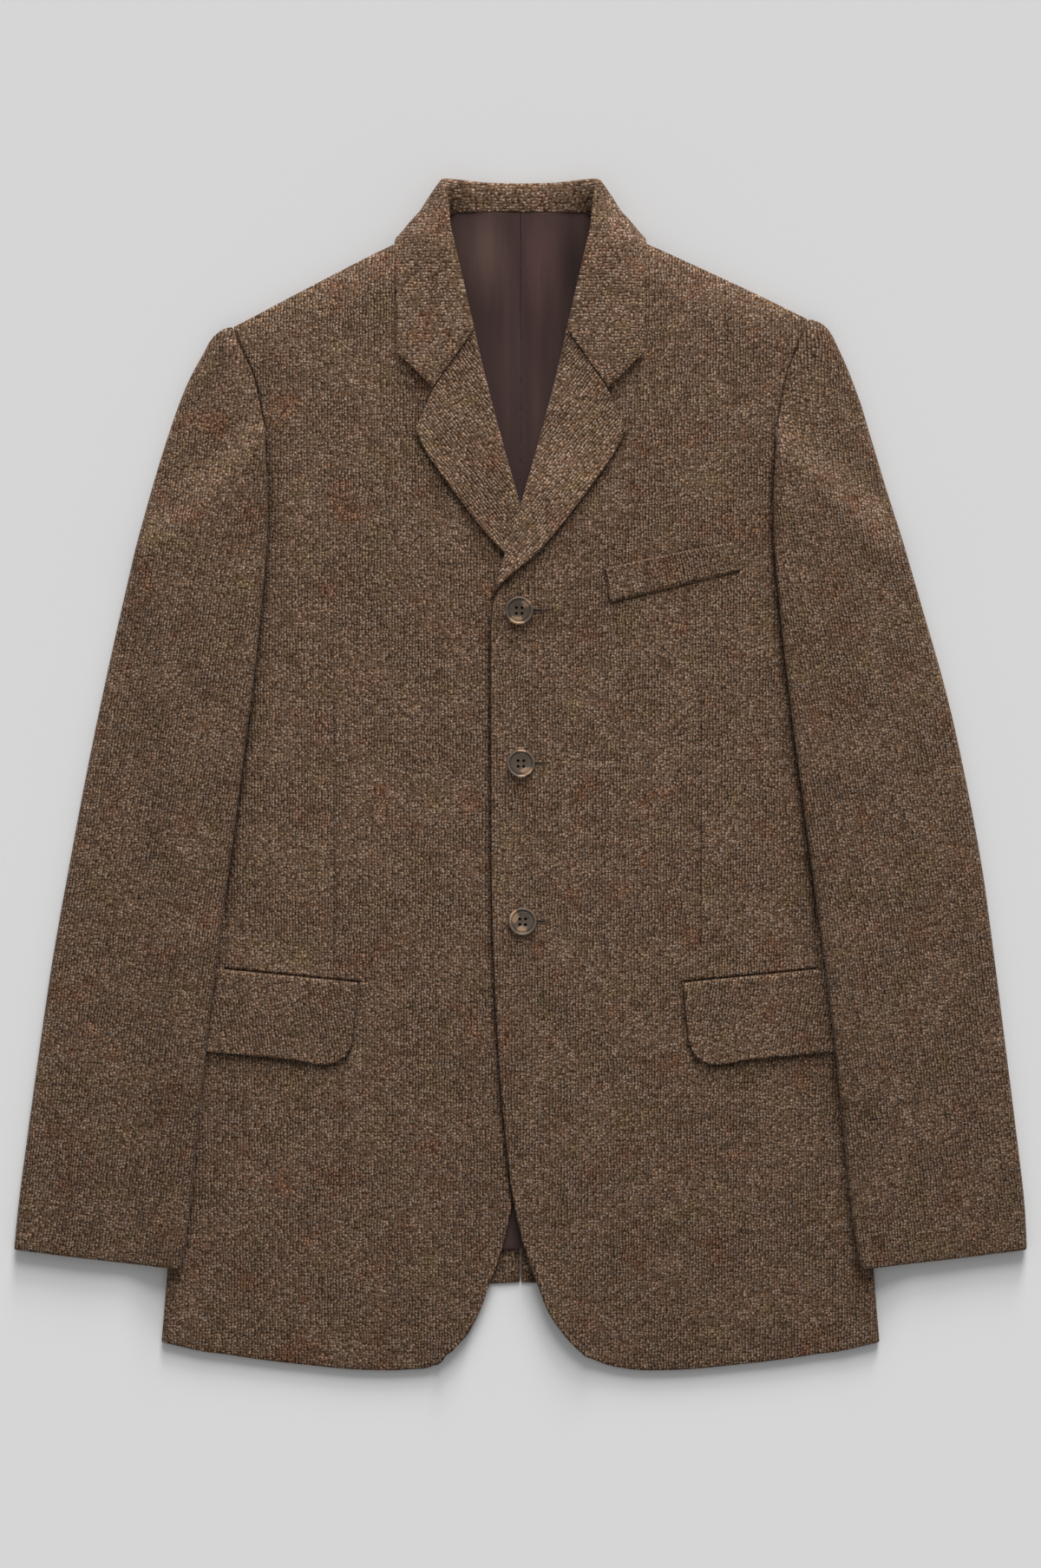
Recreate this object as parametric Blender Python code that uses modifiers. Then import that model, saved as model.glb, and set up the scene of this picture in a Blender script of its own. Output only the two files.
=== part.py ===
"""Tweed lounge jacket laid flat on its back, buttoned, with its sleeves along its sides.

X points to the wearer's left, Y to the collar and Z up from the surface that the jacket lies on.
Each half is worked out in "out, up" coordinates: out from the centre line, up towards the collar.
"""

import math

import bmesh
import bpy
import numpy as np

MM = 0.001  # the sizes below are in millimetres

# Cloth and gaps
FRONT_CLOTH = 2.5
BACK_CLOTH = 2.0
SLEEVE_CLOTH = 2.6
COLLAR_CLOTH = 2.1
FLAP_CLOTH = 2.2
LINING_CLOTH = 1.0
SEAM = 0.3  # between two pieces sewn edge to edge
LAY = 0.45  # between a piece and the one that it lies on
LAPEL_LAY = 0.65
LINING_LAY = 0.8
LINING_RISE = 0.5  # more at the neck
SIDE_SEAM = 0.9  # between the side panel and the back, under the jacket

# How the jacket lies
SEAM_LEVEL = 8.0  # lower edge of a front along the shoulder
BACK_SEAM_LEVEL = 5.6  # underside of the back there
SHOULDER_ROUND = 26.0
BACK_ROUND = 9.0
SLEEVE_TUBE = 8.2  # both layers of a sleeve and the air between them
SLEEVE_LIFT = 1.0
SLEEVE_DROP = 22.0  # run over which a sleeve comes down beside the body
HEAD_ROUND = 16.0
SIDE_TOP_LAP = 28.0  # side panel, from its fold to the front's seam
SIDE_BACK_LAP = 50.0  # side panel, from its fold to the back's seam
COLLAR_RAISE = 3.0  # the back's neck lies on the collar's leaf
ROLL_IN = 6.0  # a front's cut edge stays this far inside the lapel's roll
OVERLAP_LIFT = 3.4  # left front over right front
LAPEL_LIFT = 2.2  # more where the left lapel turns under
CROSSING_LIFT = 3.0  # and more over the right lapel
CROSSING_PRESS = 3.6  # the right front is pressed down there
CROSSING_UP = 166.0
SHOULDER_TILT = 2.7  # the left shoulder lies higher than the right
MIDDLE_UP = 0.7  # the middle of the jacket's length

UNDERARM_UP = 150.0
LINING_END = -327.0
LINING_OUT = 172.0

# Buttons
BUTTON_RADIUS = 10.2
BUTTON_RIM = 1.6
BUTTON_HEIGHT = 3.6
HOLE_SPACING = 3.7
HOLE_RADIUS = 0.85
BUTTON_PLACES = {"button_1": (-0.9, 114.3), "button_2": (0.3, 8.7), "button_3": (1.5, -100.5)}


def table(columns, *rows):
    """A small table with named columns."""
    return dict(zip(columns.split(), np.array(rows, float).T))


# Body side, from the underarm to the hem
SIDE = table(
    "up side",
    (150, 245.5), (50, 238.0), (-60, 232.8), (-123, 233.2), (-200, 237.0), (-300, 242.0),
    (-342, 244.3), (-395, 248.4),
)

# Height of the fronts' outer face at mid panel and at the panel's side
HEIGHT = table(
    "up crown side",
    (-412, 5.8, 5.8), (-330, 7.2, 6.6), (-240, 8.2, 7.2), (-150, 9.0, 7.6), (-50, 9.2, 7.6),
    (30, 9.8, 7.8), (90, 12.0, 8.3), (150, 15.6, 9.3), (222, 18.6, 11.0), (260, 19.8, 13.0),
    (300, 20.4, 14.6), (400, 20.4, 15.6),
)

# Sleeve: the armhole and inner fold, and the outer fold of the left and the right sleeve
SLEEVE = table(
    "up inner left right",
    (313, 198.4, 199.0, 199.0), (296.7, 192.9, 218.4, 218.1), (278.7, 185.4, 227.1, 227.4),
    (260.7, 181.3, 234.3, 234.9), (236.7, 177.6, 241.6, 243.3), (200.7, 174.9, 252.4, 254.4),
    (164.7, 175.0, 263.7, 264.3), (116.7, 178.9, 277.8, 275.7), (56.7, 185.4, 294.8, 289.0),
    (-3.3, 193.2, 308.2, 301.2), (-63.3, 201.0, 319.3, 312.4), (-123.3, 209.2, 327.5, 323.1),
    (-183.3, 216.4, 335.1, 332.0), (-243.3, 222.6, 342.6, 340.3), (-303.3, 228.8, 349.2, 348.0),
    (-345, 235.0, 351.2, 351.2),
)
CUFF = ((234.6, -340.8), (292.0, -334.6), (350.3, -327.4))
SLEEVE_HEAD = ((198.5, 313.3), (204.8, 311.8), (210.6, 308.2), (215.3, 302.6))

# How far the sleeve's top layer laps under, from its inner fold
LAP = table("up inner", (314, 1.5), (280, 6.0), (240, 8.3), (205, 12.0), (180, 15.0), (-345, 15.0))
OUTER_LAP = 0.2  # and from its outer fold, as a share of the width

# Lapel: its roll line and its outer edge
ROLL = table(
    "up roll",
    (308.7, 31.8), (279.3, 25.1), (248.5, 17.2), (211.0, 6.8), (190.0, 0.8), (164.0, -7.9),
    (134.8, -16.5), (126.0, -18.8),
)
LAPEL_EDGE = ((72.4, 239.5), (67.0, 227.3), (59.7, 215.6), (50.2, 202.1), (39.2, 187.5),
              (25.7, 170.3), (11.0, 153.5), (-4.3, 140.9), (-13.0, 133.2))
NOTCH = (59.6, 267.3)
GORGE = (31.8, 308.7)

# Front edge under the roll, and the cutaway at the hem
EDGE = table(
    "up edge",
    (100, -21.2), (0, -20.6), (-90, -19.6), (-160, -16.8), (-220, -12.9), (-260, -9.0),
    (-294.3, -4.5), (-327.3, 3.3), (-353.7, 12.9), (-368.1, 18.3), (-378.9, 24.9),
    (-389.7, 33.9), (-400.5, 45.9),
)
CUTAWAY_SHIFT = 9.2  # the right front's cutaway lies this much further out
HEM = ((45.9, -400.5), (59.7, -407.0), (78.3, -410.4), (104.0, -410.8), (150.0, -407.0),
       (185.0, -402.8), (206.0, -399.6), (220.4, -397.2))

# Neck and shoulder
NECK = ((0.15, 390.4), (24.0, 390.2), (44.0, 388.4), (57.0, 381.0))
FRONT_NECK = ((57.0, 381.0), (50.5, 352.0), (45.5, 330.0))
SHOULDER = ((57.0, 381.0), (90.0, 366.8), (136.0, 344.7), (198.0, 313.7))
SHOULDER_SLOPE = 0.494
SHOULDER_AT_CENTRE = 411.8
BACK_HEM = ((0.15, -350.2), (90.0, -356.0), (180.0, -376.0), (198.0, -381.0))

# Flap and breast welt
FLAP_TOP = ((112.3, -142.8), (219.0, -132.2))
FLAP_END = ((112.3, -142.8), (115.4, -172.0), (117.0, -185.0), (121.2, -194.2))
FLAP_HEM = ((121.2, -194.2), (129.5, -198.3), (160.0, -195.6), (220.0, -190.2))
WELT_TOP = ((58.6, 143.3), (104.0, 153.2), (149.2, 161.7))
WELT_HEM = ((61.8, 120.0), (107.0, 131.2), (151.4, 142.2))

# Collar, from the centre back to its tip. Seam: foot of the stand. Fold: the collar's top edge.
# Bend: where the leaf turns over the shoulder, or the notch. Edge: the leaf's free edge.
COLLAR = table(
    "seam_out seam_up seam_z fold_out fold_up fold_z bend_out bend_up bend_z edge_out edge_up edge_z",
    (0, 390.8, 5.4, 0, 409.8, 8.0, 0, 402.0, 0.3, 0, 378.0, 0.0),
    (23, 390.7, 5.6, 24, 410.4, 9.0, 25, 402.5, 0.4, 27, 377.5, 0.0),
    (39, 389.2, 7.0, 44, 412.3, 14.0, 47, 405.5, 2.0, 50, 376.0, 0.0),
    (46.5, 384.8, 8.8, 53.6, 411.0, 20.5, 60.5, 403.4, 9.0, 66, 377.0, 0.3),
    (51.6, 377.5, 12.0, 52.0, 397.5, 25.0, 67.8, 392.5, 12.0, 77, 377.4, 2.2),
    (51.4, 368.0, 15.5, 48.9, 382.0, 27.0, 74.8, 382.0, 16.0, 85.3, 373.2, 6.2),
    (49.0, 357.0, 17.0, 45.7, 368.0, 27.4, 69.0, 371.0, 25.5, 87.4, 368.0, 15.4),
    (45.8, 343.0, 17.4, 41.6, 351.0, 27.4, 64.0, 351.0, 26.5, 86.2, 349.0, 22.0),
    (41.2, 326.5, 17.4, 37.0, 331.0, 27.2, 61.0, 317.0, 26.0, 85.6, 322.0, 24.0),
    (35.6, 310.6, 17.4, 32.1, 310.2, 26.8, 60.5, 268.6, 24.2, 85.5, 292.6, 23.8),
)
COLLAR_ROUND = 3.6  # half the thickness of the collar's fold

COLOURS = {
    "tweed": (0.150, 0.103, 0.067, 1.0),
    "tweed_collar": (0.165, 0.113, 0.073, 1.0),
    "lining": (0.040, 0.026, 0.028, 1.0),
    "horn": (0.115, 0.090, 0.072, 1.0),
}
ROUGHNESS = {"tweed": 0.92, "tweed_collar": 0.92, "lining": 0.45, "horn": 0.32}


# ---------------------------------------------------------------- curves and grids


def ease(share):
    share = np.clip(share, 0.0, 1.0)
    return share * share * (3.0 - 2.0 * share)


def quarter_round(share):
    """Height of a quarter circle at a share of its run."""
    share = np.clip(share, 0.0, 1.0)
    return np.sqrt(1.0 - (1.0 - share) ** 2)


def higher(first, second, blend=2.4):
    """The higher of two surfaces, with a soft change from one to the other."""
    return 0.5 * (first + second + np.sqrt((first - second) ** 2 + blend**2))


def smooth(keys, values, at):
    """A smooth curve through (key, value) pairs, read at other keys."""
    keys, values = np.asarray(keys, float), np.asarray(values, float)
    if keys[0] > keys[-1]:
        keys, values = keys[::-1], values[::-1]
    slopes = np.gradient(values, keys)
    at = np.clip(at, keys[0], keys[-1])
    left = np.clip(np.searchsorted(keys, at) - 1, 0, len(keys) - 2)
    span = keys[left + 1] - keys[left]
    t = (at - keys[left]) / span
    start, end = values[left], values[left + 1]
    return (
        start * (2 * t**3 - 3 * t**2 + 1)
        + end * (3 * t**2 - 2 * t**3)
        + slopes[left] * span * (t**3 - 2 * t**2 + t)
        + slopes[left + 1] * span * (t**3 - t**2)
    )


def column(rows, name, up):
    return smooth(rows["up"], rows[name], up)


def path(points, stops):
    """Points along a smooth curve, at shares of its length."""
    points = np.array(points, float)
    steps = np.linalg.norm(np.diff(points, axis=0), axis=1)
    chord = np.concatenate([[0.0], np.cumsum(steps)])
    fine = np.linspace(0.0, chord[-1], 600)
    curve = np.stack([smooth(chord, axis, fine) for axis in points.T], axis=1)
    length = np.concatenate([[0.0], np.cumsum(np.linalg.norm(np.diff(curve, axis=0), axis=1))])
    at = np.asarray(stops) * length[-1]
    return np.stack([np.interp(at, length, axis) for axis in curve.T], axis=1)


def patch(down, across, top, hem, inner, outer):
    """A grid of (out, up) points between four edges: a Coons patch."""
    v = np.asarray(down)[:, None, None]
    u = np.asarray(across)[None, :, None]
    top, hem = path(top, across)[None], path(hem, across)[None]
    inner, outer = path(inner, down)[:, None], path(outer, down)[:, None]
    corners = (
        (1 - u) * (1 - v) * top[:, :1]
        + u * (1 - v) * top[:, -1:]
        + (1 - u) * v * hem[:, :1]
        + u * v * hem[:, -1:]
    )
    return (1 - v) * top + v * hem + (1 - u) * inner + u * outer - corners


def stops(count, tight=(), power=1.0):
    """Shares from 0 to 1: the tight ones first, then the rest spread out."""
    start = tight[-1] if tight else 0.0
    rest = start + (1.0 - start) * np.linspace(0.0, 1.0, count + 1) ** power
    return np.concatenate([tight[:-1], rest]) if tight else rest


# ---------------------------------------------------------------- surfaces


def side_line(up):
    return column(SIDE, "side", up)


def below_shoulder(out, up):
    """Distance down from the shoulder's edge."""
    return (SHOULDER_AT_CENTRE - SHOULDER_SLOPE * out - up) / math.hypot(1.0, SHOULDER_SLOPE)


def front_top(out, up):
    """Outer face of a front, or of the side panel's upper layer."""
    crown, side = column(HEIGHT, "crown", up), column(HEIGHT, "side", up)
    share = np.abs(out) / side_line(up)
    level = side + (crown - side) * (1.0 - ease((share - 0.30) / 0.48))
    rise = quarter_round(below_shoulder(out, up) / SHOULDER_ROUND)
    return SEAM_LEVEL + 0.15 + (level - SEAM_LEVEL - 0.15) * rise


def front_lift(out, up, side):
    """Extra height where the left front lies on the right one."""
    press = CROSSING_PRESS * np.exp(-(((up - CROSSING_UP) / 42.0) ** 2))
    press = press * (1.0 - ease((out - 20.0) / 46.0))
    if side < 0:
        return -press
    over = 1.0 - ease((out - 27.0) / 40.0)
    start = ease((236.0 - up) / 40.0)
    under_lapel = ease((up - 96.0) / 26.0) * start
    crossing = np.exp(-(((up - CROSSING_UP) / 34.0) ** 2))
    lift = OVERLAP_LIFT * start + LAPEL_LIFT * under_lapel + CROSSING_LIFT * crossing
    return over * lift - press


def back_under(out, up):
    """Underside of the back."""
    rise = BACK_SEAM_LEVEL * (1.0 - quarter_round(below_shoulder(out, up) / BACK_ROUND))
    neck = COLLAR_RAISE * ease((up - 300.0) / 66.0) * (1.0 - ease((out - 55.0) / 80.0))
    return np.maximum(rise, neck)


def sleeve_under(out, up):
    """Underside of a sleeve: on the front, then down beside the body to the surface."""
    past_underarm = (out - 172.0 + up - 230.0) * math.sqrt(0.5)
    past_side = out - side_line(up) - 3.0
    drop = np.maximum(past_underarm, past_side) / SLEEVE_DROP
    flap = (FLAP_CLOTH + 0.5) * ease((up + 245.0) / 36.0) * ease((-90.0 - up) / 32.0)
    return (front_top(out, up) + SLEEVE_LIFT + flap) * (1.0 - ease(drop))


def sleeve_top(out, up, share):
    """Outer face of a sleeve. Its head stands up a little beside the armhole's seam."""
    seam_out = column(SLEEVE, "inner", up)
    seam = front_top(seam_out, up)
    rope = 2.4 * (1.0 - np.exp(-(((out - seam_out) / 7.0) ** 2)))
    dome = (seam + rope - SLEEVE_TUBE) * (1.0 - ease(share * 1.04)) * ease((up - 120.0) / 100.0)
    return higher(sleeve_under(out, up) + SLEEVE_TUBE, SLEEVE_TUBE + dome)


# ---------------------------------------------------------------- objects


def material(name):
    made = bpy.data.materials.get(name)
    if made:
        return made
    made = bpy.data.materials.new(name)
    made.use_nodes = True
    surface = made.node_tree.nodes["Principled BSDF"]
    surface.inputs["Base Color"].default_value = COLOURS[name]
    surface.inputs["Roughness"].default_value = ROUGHNESS[name]
    surface.inputs["Metallic"].default_value = 0.0
    return made


def placed(points, side):
    """From out, up and height to the jacket's own X, Y and Z, in metres."""
    out, up, height = np.moveaxis(points, -1, 0)
    weight = ease((out - 70.0) / 135.0) * ease((up - 262.0) / 40.0)
    up = up + side * SHOULDER_TILT * weight - MIDDLE_UP
    return np.stack([side * out, up, height], axis=-1) * MM


def sheet(name, points, cloth, side, colour="tweed", outer=True):
    """A piece of cloth: a grid of points for one face, thickened to its other face."""
    rows, cols = points.shape[:2]
    mesh = bpy.data.meshes.new(name)
    grid = bmesh.new()
    bmesh.ops.create_grid(grid, x_segments=cols - 1, y_segments=rows - 1, size=1.0)
    grid.verts.ensure_lookup_table()
    for vert, point in zip(grid.verts, placed(points, side).reshape(-1, 3)):
        vert.co = point
    if side > 0:
        bmesh.ops.reverse_faces(grid, faces=grid.faces[:])
    grid.to_mesh(mesh)
    grid.free()
    mesh.shade_smooth()
    piece = bpy.data.objects.new(name, mesh)
    mesh.materials.append(material(colour))
    wall = piece.modifiers.new("cloth", "SOLIDIFY")
    wall.thickness = cloth * MM
    wall.offset = -1.0 if outer else 1.0
    wall.use_even_offset = True
    wall.thickness_clamp = 0.9
    COLLECTION.objects.link(piece)
    return piece


def laid(plan, height):
    return np.concatenate([plan, np.asarray(height)[..., None]], axis=-1)


def side_name(stem, side):
    return stem + ("_left" if side > 0 else "_right")


def front_edge(side):
    """The front's centre edge, from the neck down to the hem."""
    roll = [
        (value + ROLL_IN * float(ease((up - 108.0) / 34.0)), up)
        for up, value in zip(ROLL["up"][:-1], ROLL["roll"][:-1])
    ]
    lower = [
        (value + (CUTAWAY_SHIFT * float(ease((60.0 - up) / 330.0)) if side < 0 else 0.0), up)
        for up, value in zip(EDGE["up"], EDGE["edge"])
    ]
    return [*FRONT_NECK, *roll, *lower]


def make_front(side):
    edge = front_edge(side)
    hem = [edge[-1], *[(out, up) for out, up in HEM[1:]]]
    armhole = [
        (column(SLEEVE, "inner", up) - SEAM, up) for up in (296.7, 278.7, 260.7, 240.0, 224.0)
    ]
    turned = [(179.0, 207.0), (190.0, 190.0), (204.0, 173.0), (214.5, 158.0)]
    seam = [
        (side_line(up) - SIDE_TOP_LAP - SEAM / 2, up)
        for up in np.linspace(135.0, -398.0, 18)
    ]
    outer = [SHOULDER[-1], *armhole, *turned, *seam]
    hem[-1] = outer[-1]
    down = stops(25, tight=(0.0, 0.0022, 0.0085, 0.019, 0.034))
    across = stops(12, power=1.15)
    plan = patch(down, across, SHOULDER, hem, edge, outer)
    out, up = plan[..., 0], plan[..., 1]
    top = front_top(out, up) + front_lift(out, up, side)
    return sheet(side_name("front", side), laid(plan, top), FRONT_CLOTH, side)


def make_back(side):
    armhole = [
        (column(SLEEVE, "inner", up) + column(LAP, "inner", up) - 1.2, up)
        for up in (290.0, 262.0, 236.0, 212.0)
    ]
    seam = [
        (side_line(up) - SIDE_BACK_LAP - SIDE_SEAM, up)
        for up in np.linspace(UNDERARM_UP, BACK_HEM[-1][1], 16)
    ]
    outer = [SHOULDER[-1], *armhole, (192.5, 180.0), *seam]
    hem = [*BACK_HEM[:-1], outer[-1]]
    centre = (NECK[0], (0.15, 100.0), BACK_HEM[0])
    top = [*NECK, *SHOULDER[1:]]
    down = stops(9, tight=(0.0, 0.003, 0.011, 0.03, 0.05, 0.07, 0.09, 0.11))
    plan = patch(down, stops(10), top, hem, centre, outer)
    under = back_under(plan[..., 0], plan[..., 1])
    return sheet(side_name("back", side), laid(plan, under), BACK_CLOTH, side, outer=False)


def make_lining(side):
    top = ((0.15, 387.6), (20.0, 387.4), (32.0, 381.0), (39.0, 368.0), (56.0, 346.0))
    outer = ((56.0, 346.0), (112.0, 304.0), (148.0, 258.0), (LINING_OUT, 190.0),
             (LINING_OUT, 0.0), (LINING_OUT, LINING_END))
    hem = ((0.15, LINING_END), (90.0, LINING_END), (LINING_OUT, LINING_END))
    centre = ((0.15, 387.6), (0.15, 0.0), (0.15, LINING_END))
    down = stops(7, tight=(0.0, 0.02, 0.04, 0.06, 0.08, 0.10))
    plan = patch(down, stops(6), top, hem, centre, outer)
    under = back_under(plan[..., 0], plan[..., 1]) + BACK_CLOTH + LINING_LAY
    under = under + LINING_RISE * ease((plan[..., 1] - 280.0) / 50.0)
    return sheet(
        side_name("lining", side), laid(plan, under), LINING_CLOTH, side, "lining", outer=False
    )


def make_side(side):
    """The side panel: from the back's seam, round the body's side, up to the front's seam."""
    ups = np.linspace(UNDERARM_UP, -394.5, 17)
    rows = []
    for up in ups:
        fold = float(side_line(up))
        half = float(front_top(np.array(fold), up)) / 2
        turn = np.radians([-90, -52, -18, 18, 52, 90])
        outs = [fold - SIDE_BACK_LAP, fold - 26.0]
        outs += list(fold - half + half * np.cos(turn))
        outs += [fold - SIDE_TOP_LAP / 2 - 2.0, fold - SIDE_TOP_LAP + SEAM / 2]
        lows = [0.0, 0.0] + list(half + half * np.sin(turn))
        lows += [float(front_top(np.array(out), up)) for out in outs[-2:]]
        hem_rise = [
            float(np.interp(out, (198.0, 220.4, 247.6), (-381.0, -397.0, -391.5)))
            for out in outs
        ]
        share = (UNDERARM_UP - up) / (UNDERARM_UP + 394.5)
        rows.append([
            (out, up + (rise + 394.5) * share**8, low)
            for out, rise, low in zip(outs, hem_rise, lows)
        ])
    return sheet(side_name("side", side), np.array(rows)[:, ::-1], BACK_CLOTH, side)


def sleeve_plan(down, side):
    """Inner and outer fold of the sleeve at each stop from its head to its cuff."""
    outer_fold = "left" if side > 0 else "right"
    ups = (296.7, 278.7, 260.7, 236.7, 200.7, 164.7, 116.7, 56.7, -3.3, -63.3, -123.3, -183.3,
           -243.3, -303.3)
    inner = [SLEEVE_HEAD[0], *[(float(column(SLEEVE, "inner", up)), up) for up in ups], CUFF[0]]
    outer = [(float(column(SLEEVE, outer_fold, up)), up) for up in ups[1:]]
    return path(inner, down), path([SLEEVE_HEAD[-1], *outer, CUFF[-1]], down)



def make_sleeve(side):
    down = stops(20, tight=(0.0, 0.0016, 0.0062, 0.0138, 0.024))
    inner, outer = sleeve_plan(down, side)
    half = SLEEVE_TUBE / 2
    rows = []
    for index, share_down in enumerate(down):
        start, end = inner[index], outer[index]
        width = float(np.linalg.norm(end - start))
        sewn = float(ease((start[1] - 224.0) / 22.0))
        lap = float(column(LAP, "inner", start[1])) - SEAM / 2
        quarter = half * math.pi / 2
        first = (1 - sewn) * -(quarter + max(lap - half, 0.6)) + sewn * quarter
        last = width - half + quarter
        outer_lap = max(OUTER_LAP * width - half, 0.8)
        near = np.linspace(first, quarter + 4.0, 7)
        far_flat = width - 2 * half + quarter
        over = quarter + 4.0 + (far_flat - quarter - 4.0) * np.array([0.12, 0.32, 0.54, 0.76, 0.92])
        fold = far_flat + quarter * np.array([0.0, 0.5, 1.0, 1.5, 2.0])
        under = far_flat + 2 * quarter + np.array([0.5, 1.0]) * outer_lap
        row = []
        for run in np.concatenate([near, over, fold, under]):
            if run < -quarter:
                off, layer = half + (-run - quarter), -1.0
            elif run < quarter:
                off, layer = half * (1 - math.cos(run / half)), math.sin(run / half)
            elif run <= far_flat:
                off, layer = half + run - quarter, 1.0
            elif run <= far_flat + 2 * quarter:
                angle = (run - far_flat) / half
                off, layer = width - half + half * math.sin(angle), math.cos(angle)
            else:
                off, layer = width - half - (run - far_flat - 2 * quarter), -1.0
            off -= (half - SEAM) * sewn * (1 - min(off / (0.6 * width), 1.0))
            row.append((off / width, layer))
        rows.append(row)
    share = np.array(rows)[..., 0]
    layer = np.array(rows)[..., 1]
    plan = sleeve_grid(down, inner, outer, share)
    points = sleeve_heights(plan, share, layer, plan[:1])
    return sheet(side_name("top_sleeve", side), points, SLEEVE_CLOTH, side)


def sleeve_grid(down, inner, outer, share):
    """Plan points at shares of the sleeve's width, bent to follow its head and its cuff."""
    v = np.asarray(down)[:, None, None]
    s = share[..., None]
    straight = inner[:, None] * (1 - s) + outer[:, None] * s

    def bent(edge, shares):
        line = np.stack([np.interp(shares, np.linspace(0, 1, 41), axis)
                         for axis in path(edge, np.linspace(0, 1, 41)).T], axis=-1)
        ends = np.array(edge[0]) * (1 - shares[..., None]) + np.array(edge[-1]) * shares[..., None]
        return line - ends

    return straight + (1 - v) ** 6 * bent(SLEEVE_HEAD, share) + v**6 * bent(CUFF, share)


def sleeve_heights(plan, share, layer, head):
    out, up = plan[..., 0], plan[..., 1]
    under, top = sleeve_under(out, up), sleeve_top(out, up, share)
    from_head = np.linalg.norm(plan - head, axis=-1)
    rise = quarter_round(from_head / HEAD_ROUND)
    top = SEAM_LEVEL + 0.15 + (top - SEAM_LEVEL - 0.15) * rise
    under = SEAM_LEVEL - 0.15 + (under - SEAM_LEVEL + 0.15) * rise
    height = (top + under) / 2 + layer * (top - under) / 2
    return laid(plan, height)


def make_under_sleeve(side):
    down = np.concatenate([[0.0], 0.02 + 0.98 * stops(18)])
    inner, outer = sleeve_plan(down, side)
    width = np.linalg.norm(outer - inner, axis=1)
    lap = column(LAP, "inner", inner[:, 1]) + SEAM
    first = lap / width
    last = 1 - np.maximum(OUTER_LAP * width, SLEEVE_TUBE / 2 + 0.8) / width - 3 * SEAM / width
    share = first[:, None] + (last - first)[:, None] * np.linspace(0, 1, 6)[None]
    plan = sleeve_grid(down, inner, outer, share)
    points = sleeve_heights(plan[1:], share[1:], -np.ones_like(share[1:]), plan[:1])
    return sheet(side_name("under_sleeve", side), points, SLEEVE_CLOTH, side, outer=False)


def make_facing(side):
    """The lapel: from inside the front's edge, round the roll and out over the front."""
    down = stops(16, tight=(0.0, 0.02))
    roll = [GORGE, *[(value, up) for up, value in zip(ROLL["up"][1:-1], ROLL["roll"][1:-1])]]
    edge = list(LAPEL_EDGE)
    if side > 0:
        roll.append((-18.0, 130.5))
    else:
        roll = roll[:4] + [(-2.2, 181.0), (-5.6, 171.0)]
        edge = edge[:6] + [(14.0, 157.0), (8.4, 151.0)]
    across = np.concatenate([[0.0, 0.02, 0.07], np.linspace(0.16, 1.0, 7)])
    top = (roll[0], *[tuple(np.array(GORGE) + (np.array(NOTCH) - GORGE) * share)
                      for share in (0.35, 0.7)], NOTCH, (66.0, 253.0), edge[0])
    plan = patch(down, across, top, (roll[-1], edge[-1]), roll, edge)
    out, up = plan[..., 0], plan[..., 1]
    base = front_top(out, up) + front_lift(out, up, side)
    from_roll = np.linalg.norm(plan - plan[:, :1], axis=-1)
    loft = 3.0 * ease((up - 150.0) / 120.0) * np.exp(-from_roll / 16.0)
    top_face = base + LAPEL_LAY + COLLAR_CLOTH + loft
    low_face = base[:, :1] - FRONT_CLOTH - LAPEL_LAY - COLLAR_CLOTH
    half = (top_face[:, :1] - low_face) / 2
    height = top_face[:, :1] - half + (top_face - top_face[:, :1] + half) * quarter_round(
        from_roll / half
    )
    outward = plan[:, 4:5] - plan[:, :1]
    outward /= np.linalg.norm(outward, axis=-1, keepdims=True)
    lower = []
    for angle in (0, 30, 60):
        turn = math.radians(90 - angle)
        lower.append(np.concatenate([
            plan[:, :1] + outward * half[..., None] * (1 - math.cos(turn)),
            (top_face[:, :1] - half - half * math.sin(turn))[..., None],
        ], axis=-1))
    lap = np.concatenate([plan[:, :1] + outward * (half[..., None] + 2.5), low_face[..., None]], axis=-1)
    points = np.concatenate([lap, *lower, laid(plan, height)], axis=1)
    return sheet(side_name("lapel", side), points, COLLAR_CLOTH, side, "tweed_collar")


def collar_rows(count):
    at = np.linspace(0.0, len(COLLAR["fold_out"]) - 1.0, count)
    rows = np.arange(len(COLLAR["fold_out"]))

    def point(stem):
        return np.stack([smooth(rows, COLLAR[f"{stem}_{axis}"], at) for axis in ("out", "up", "z")], 1)

    return point("seam"), point("fold"), point("bend"), point("edge")


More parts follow.
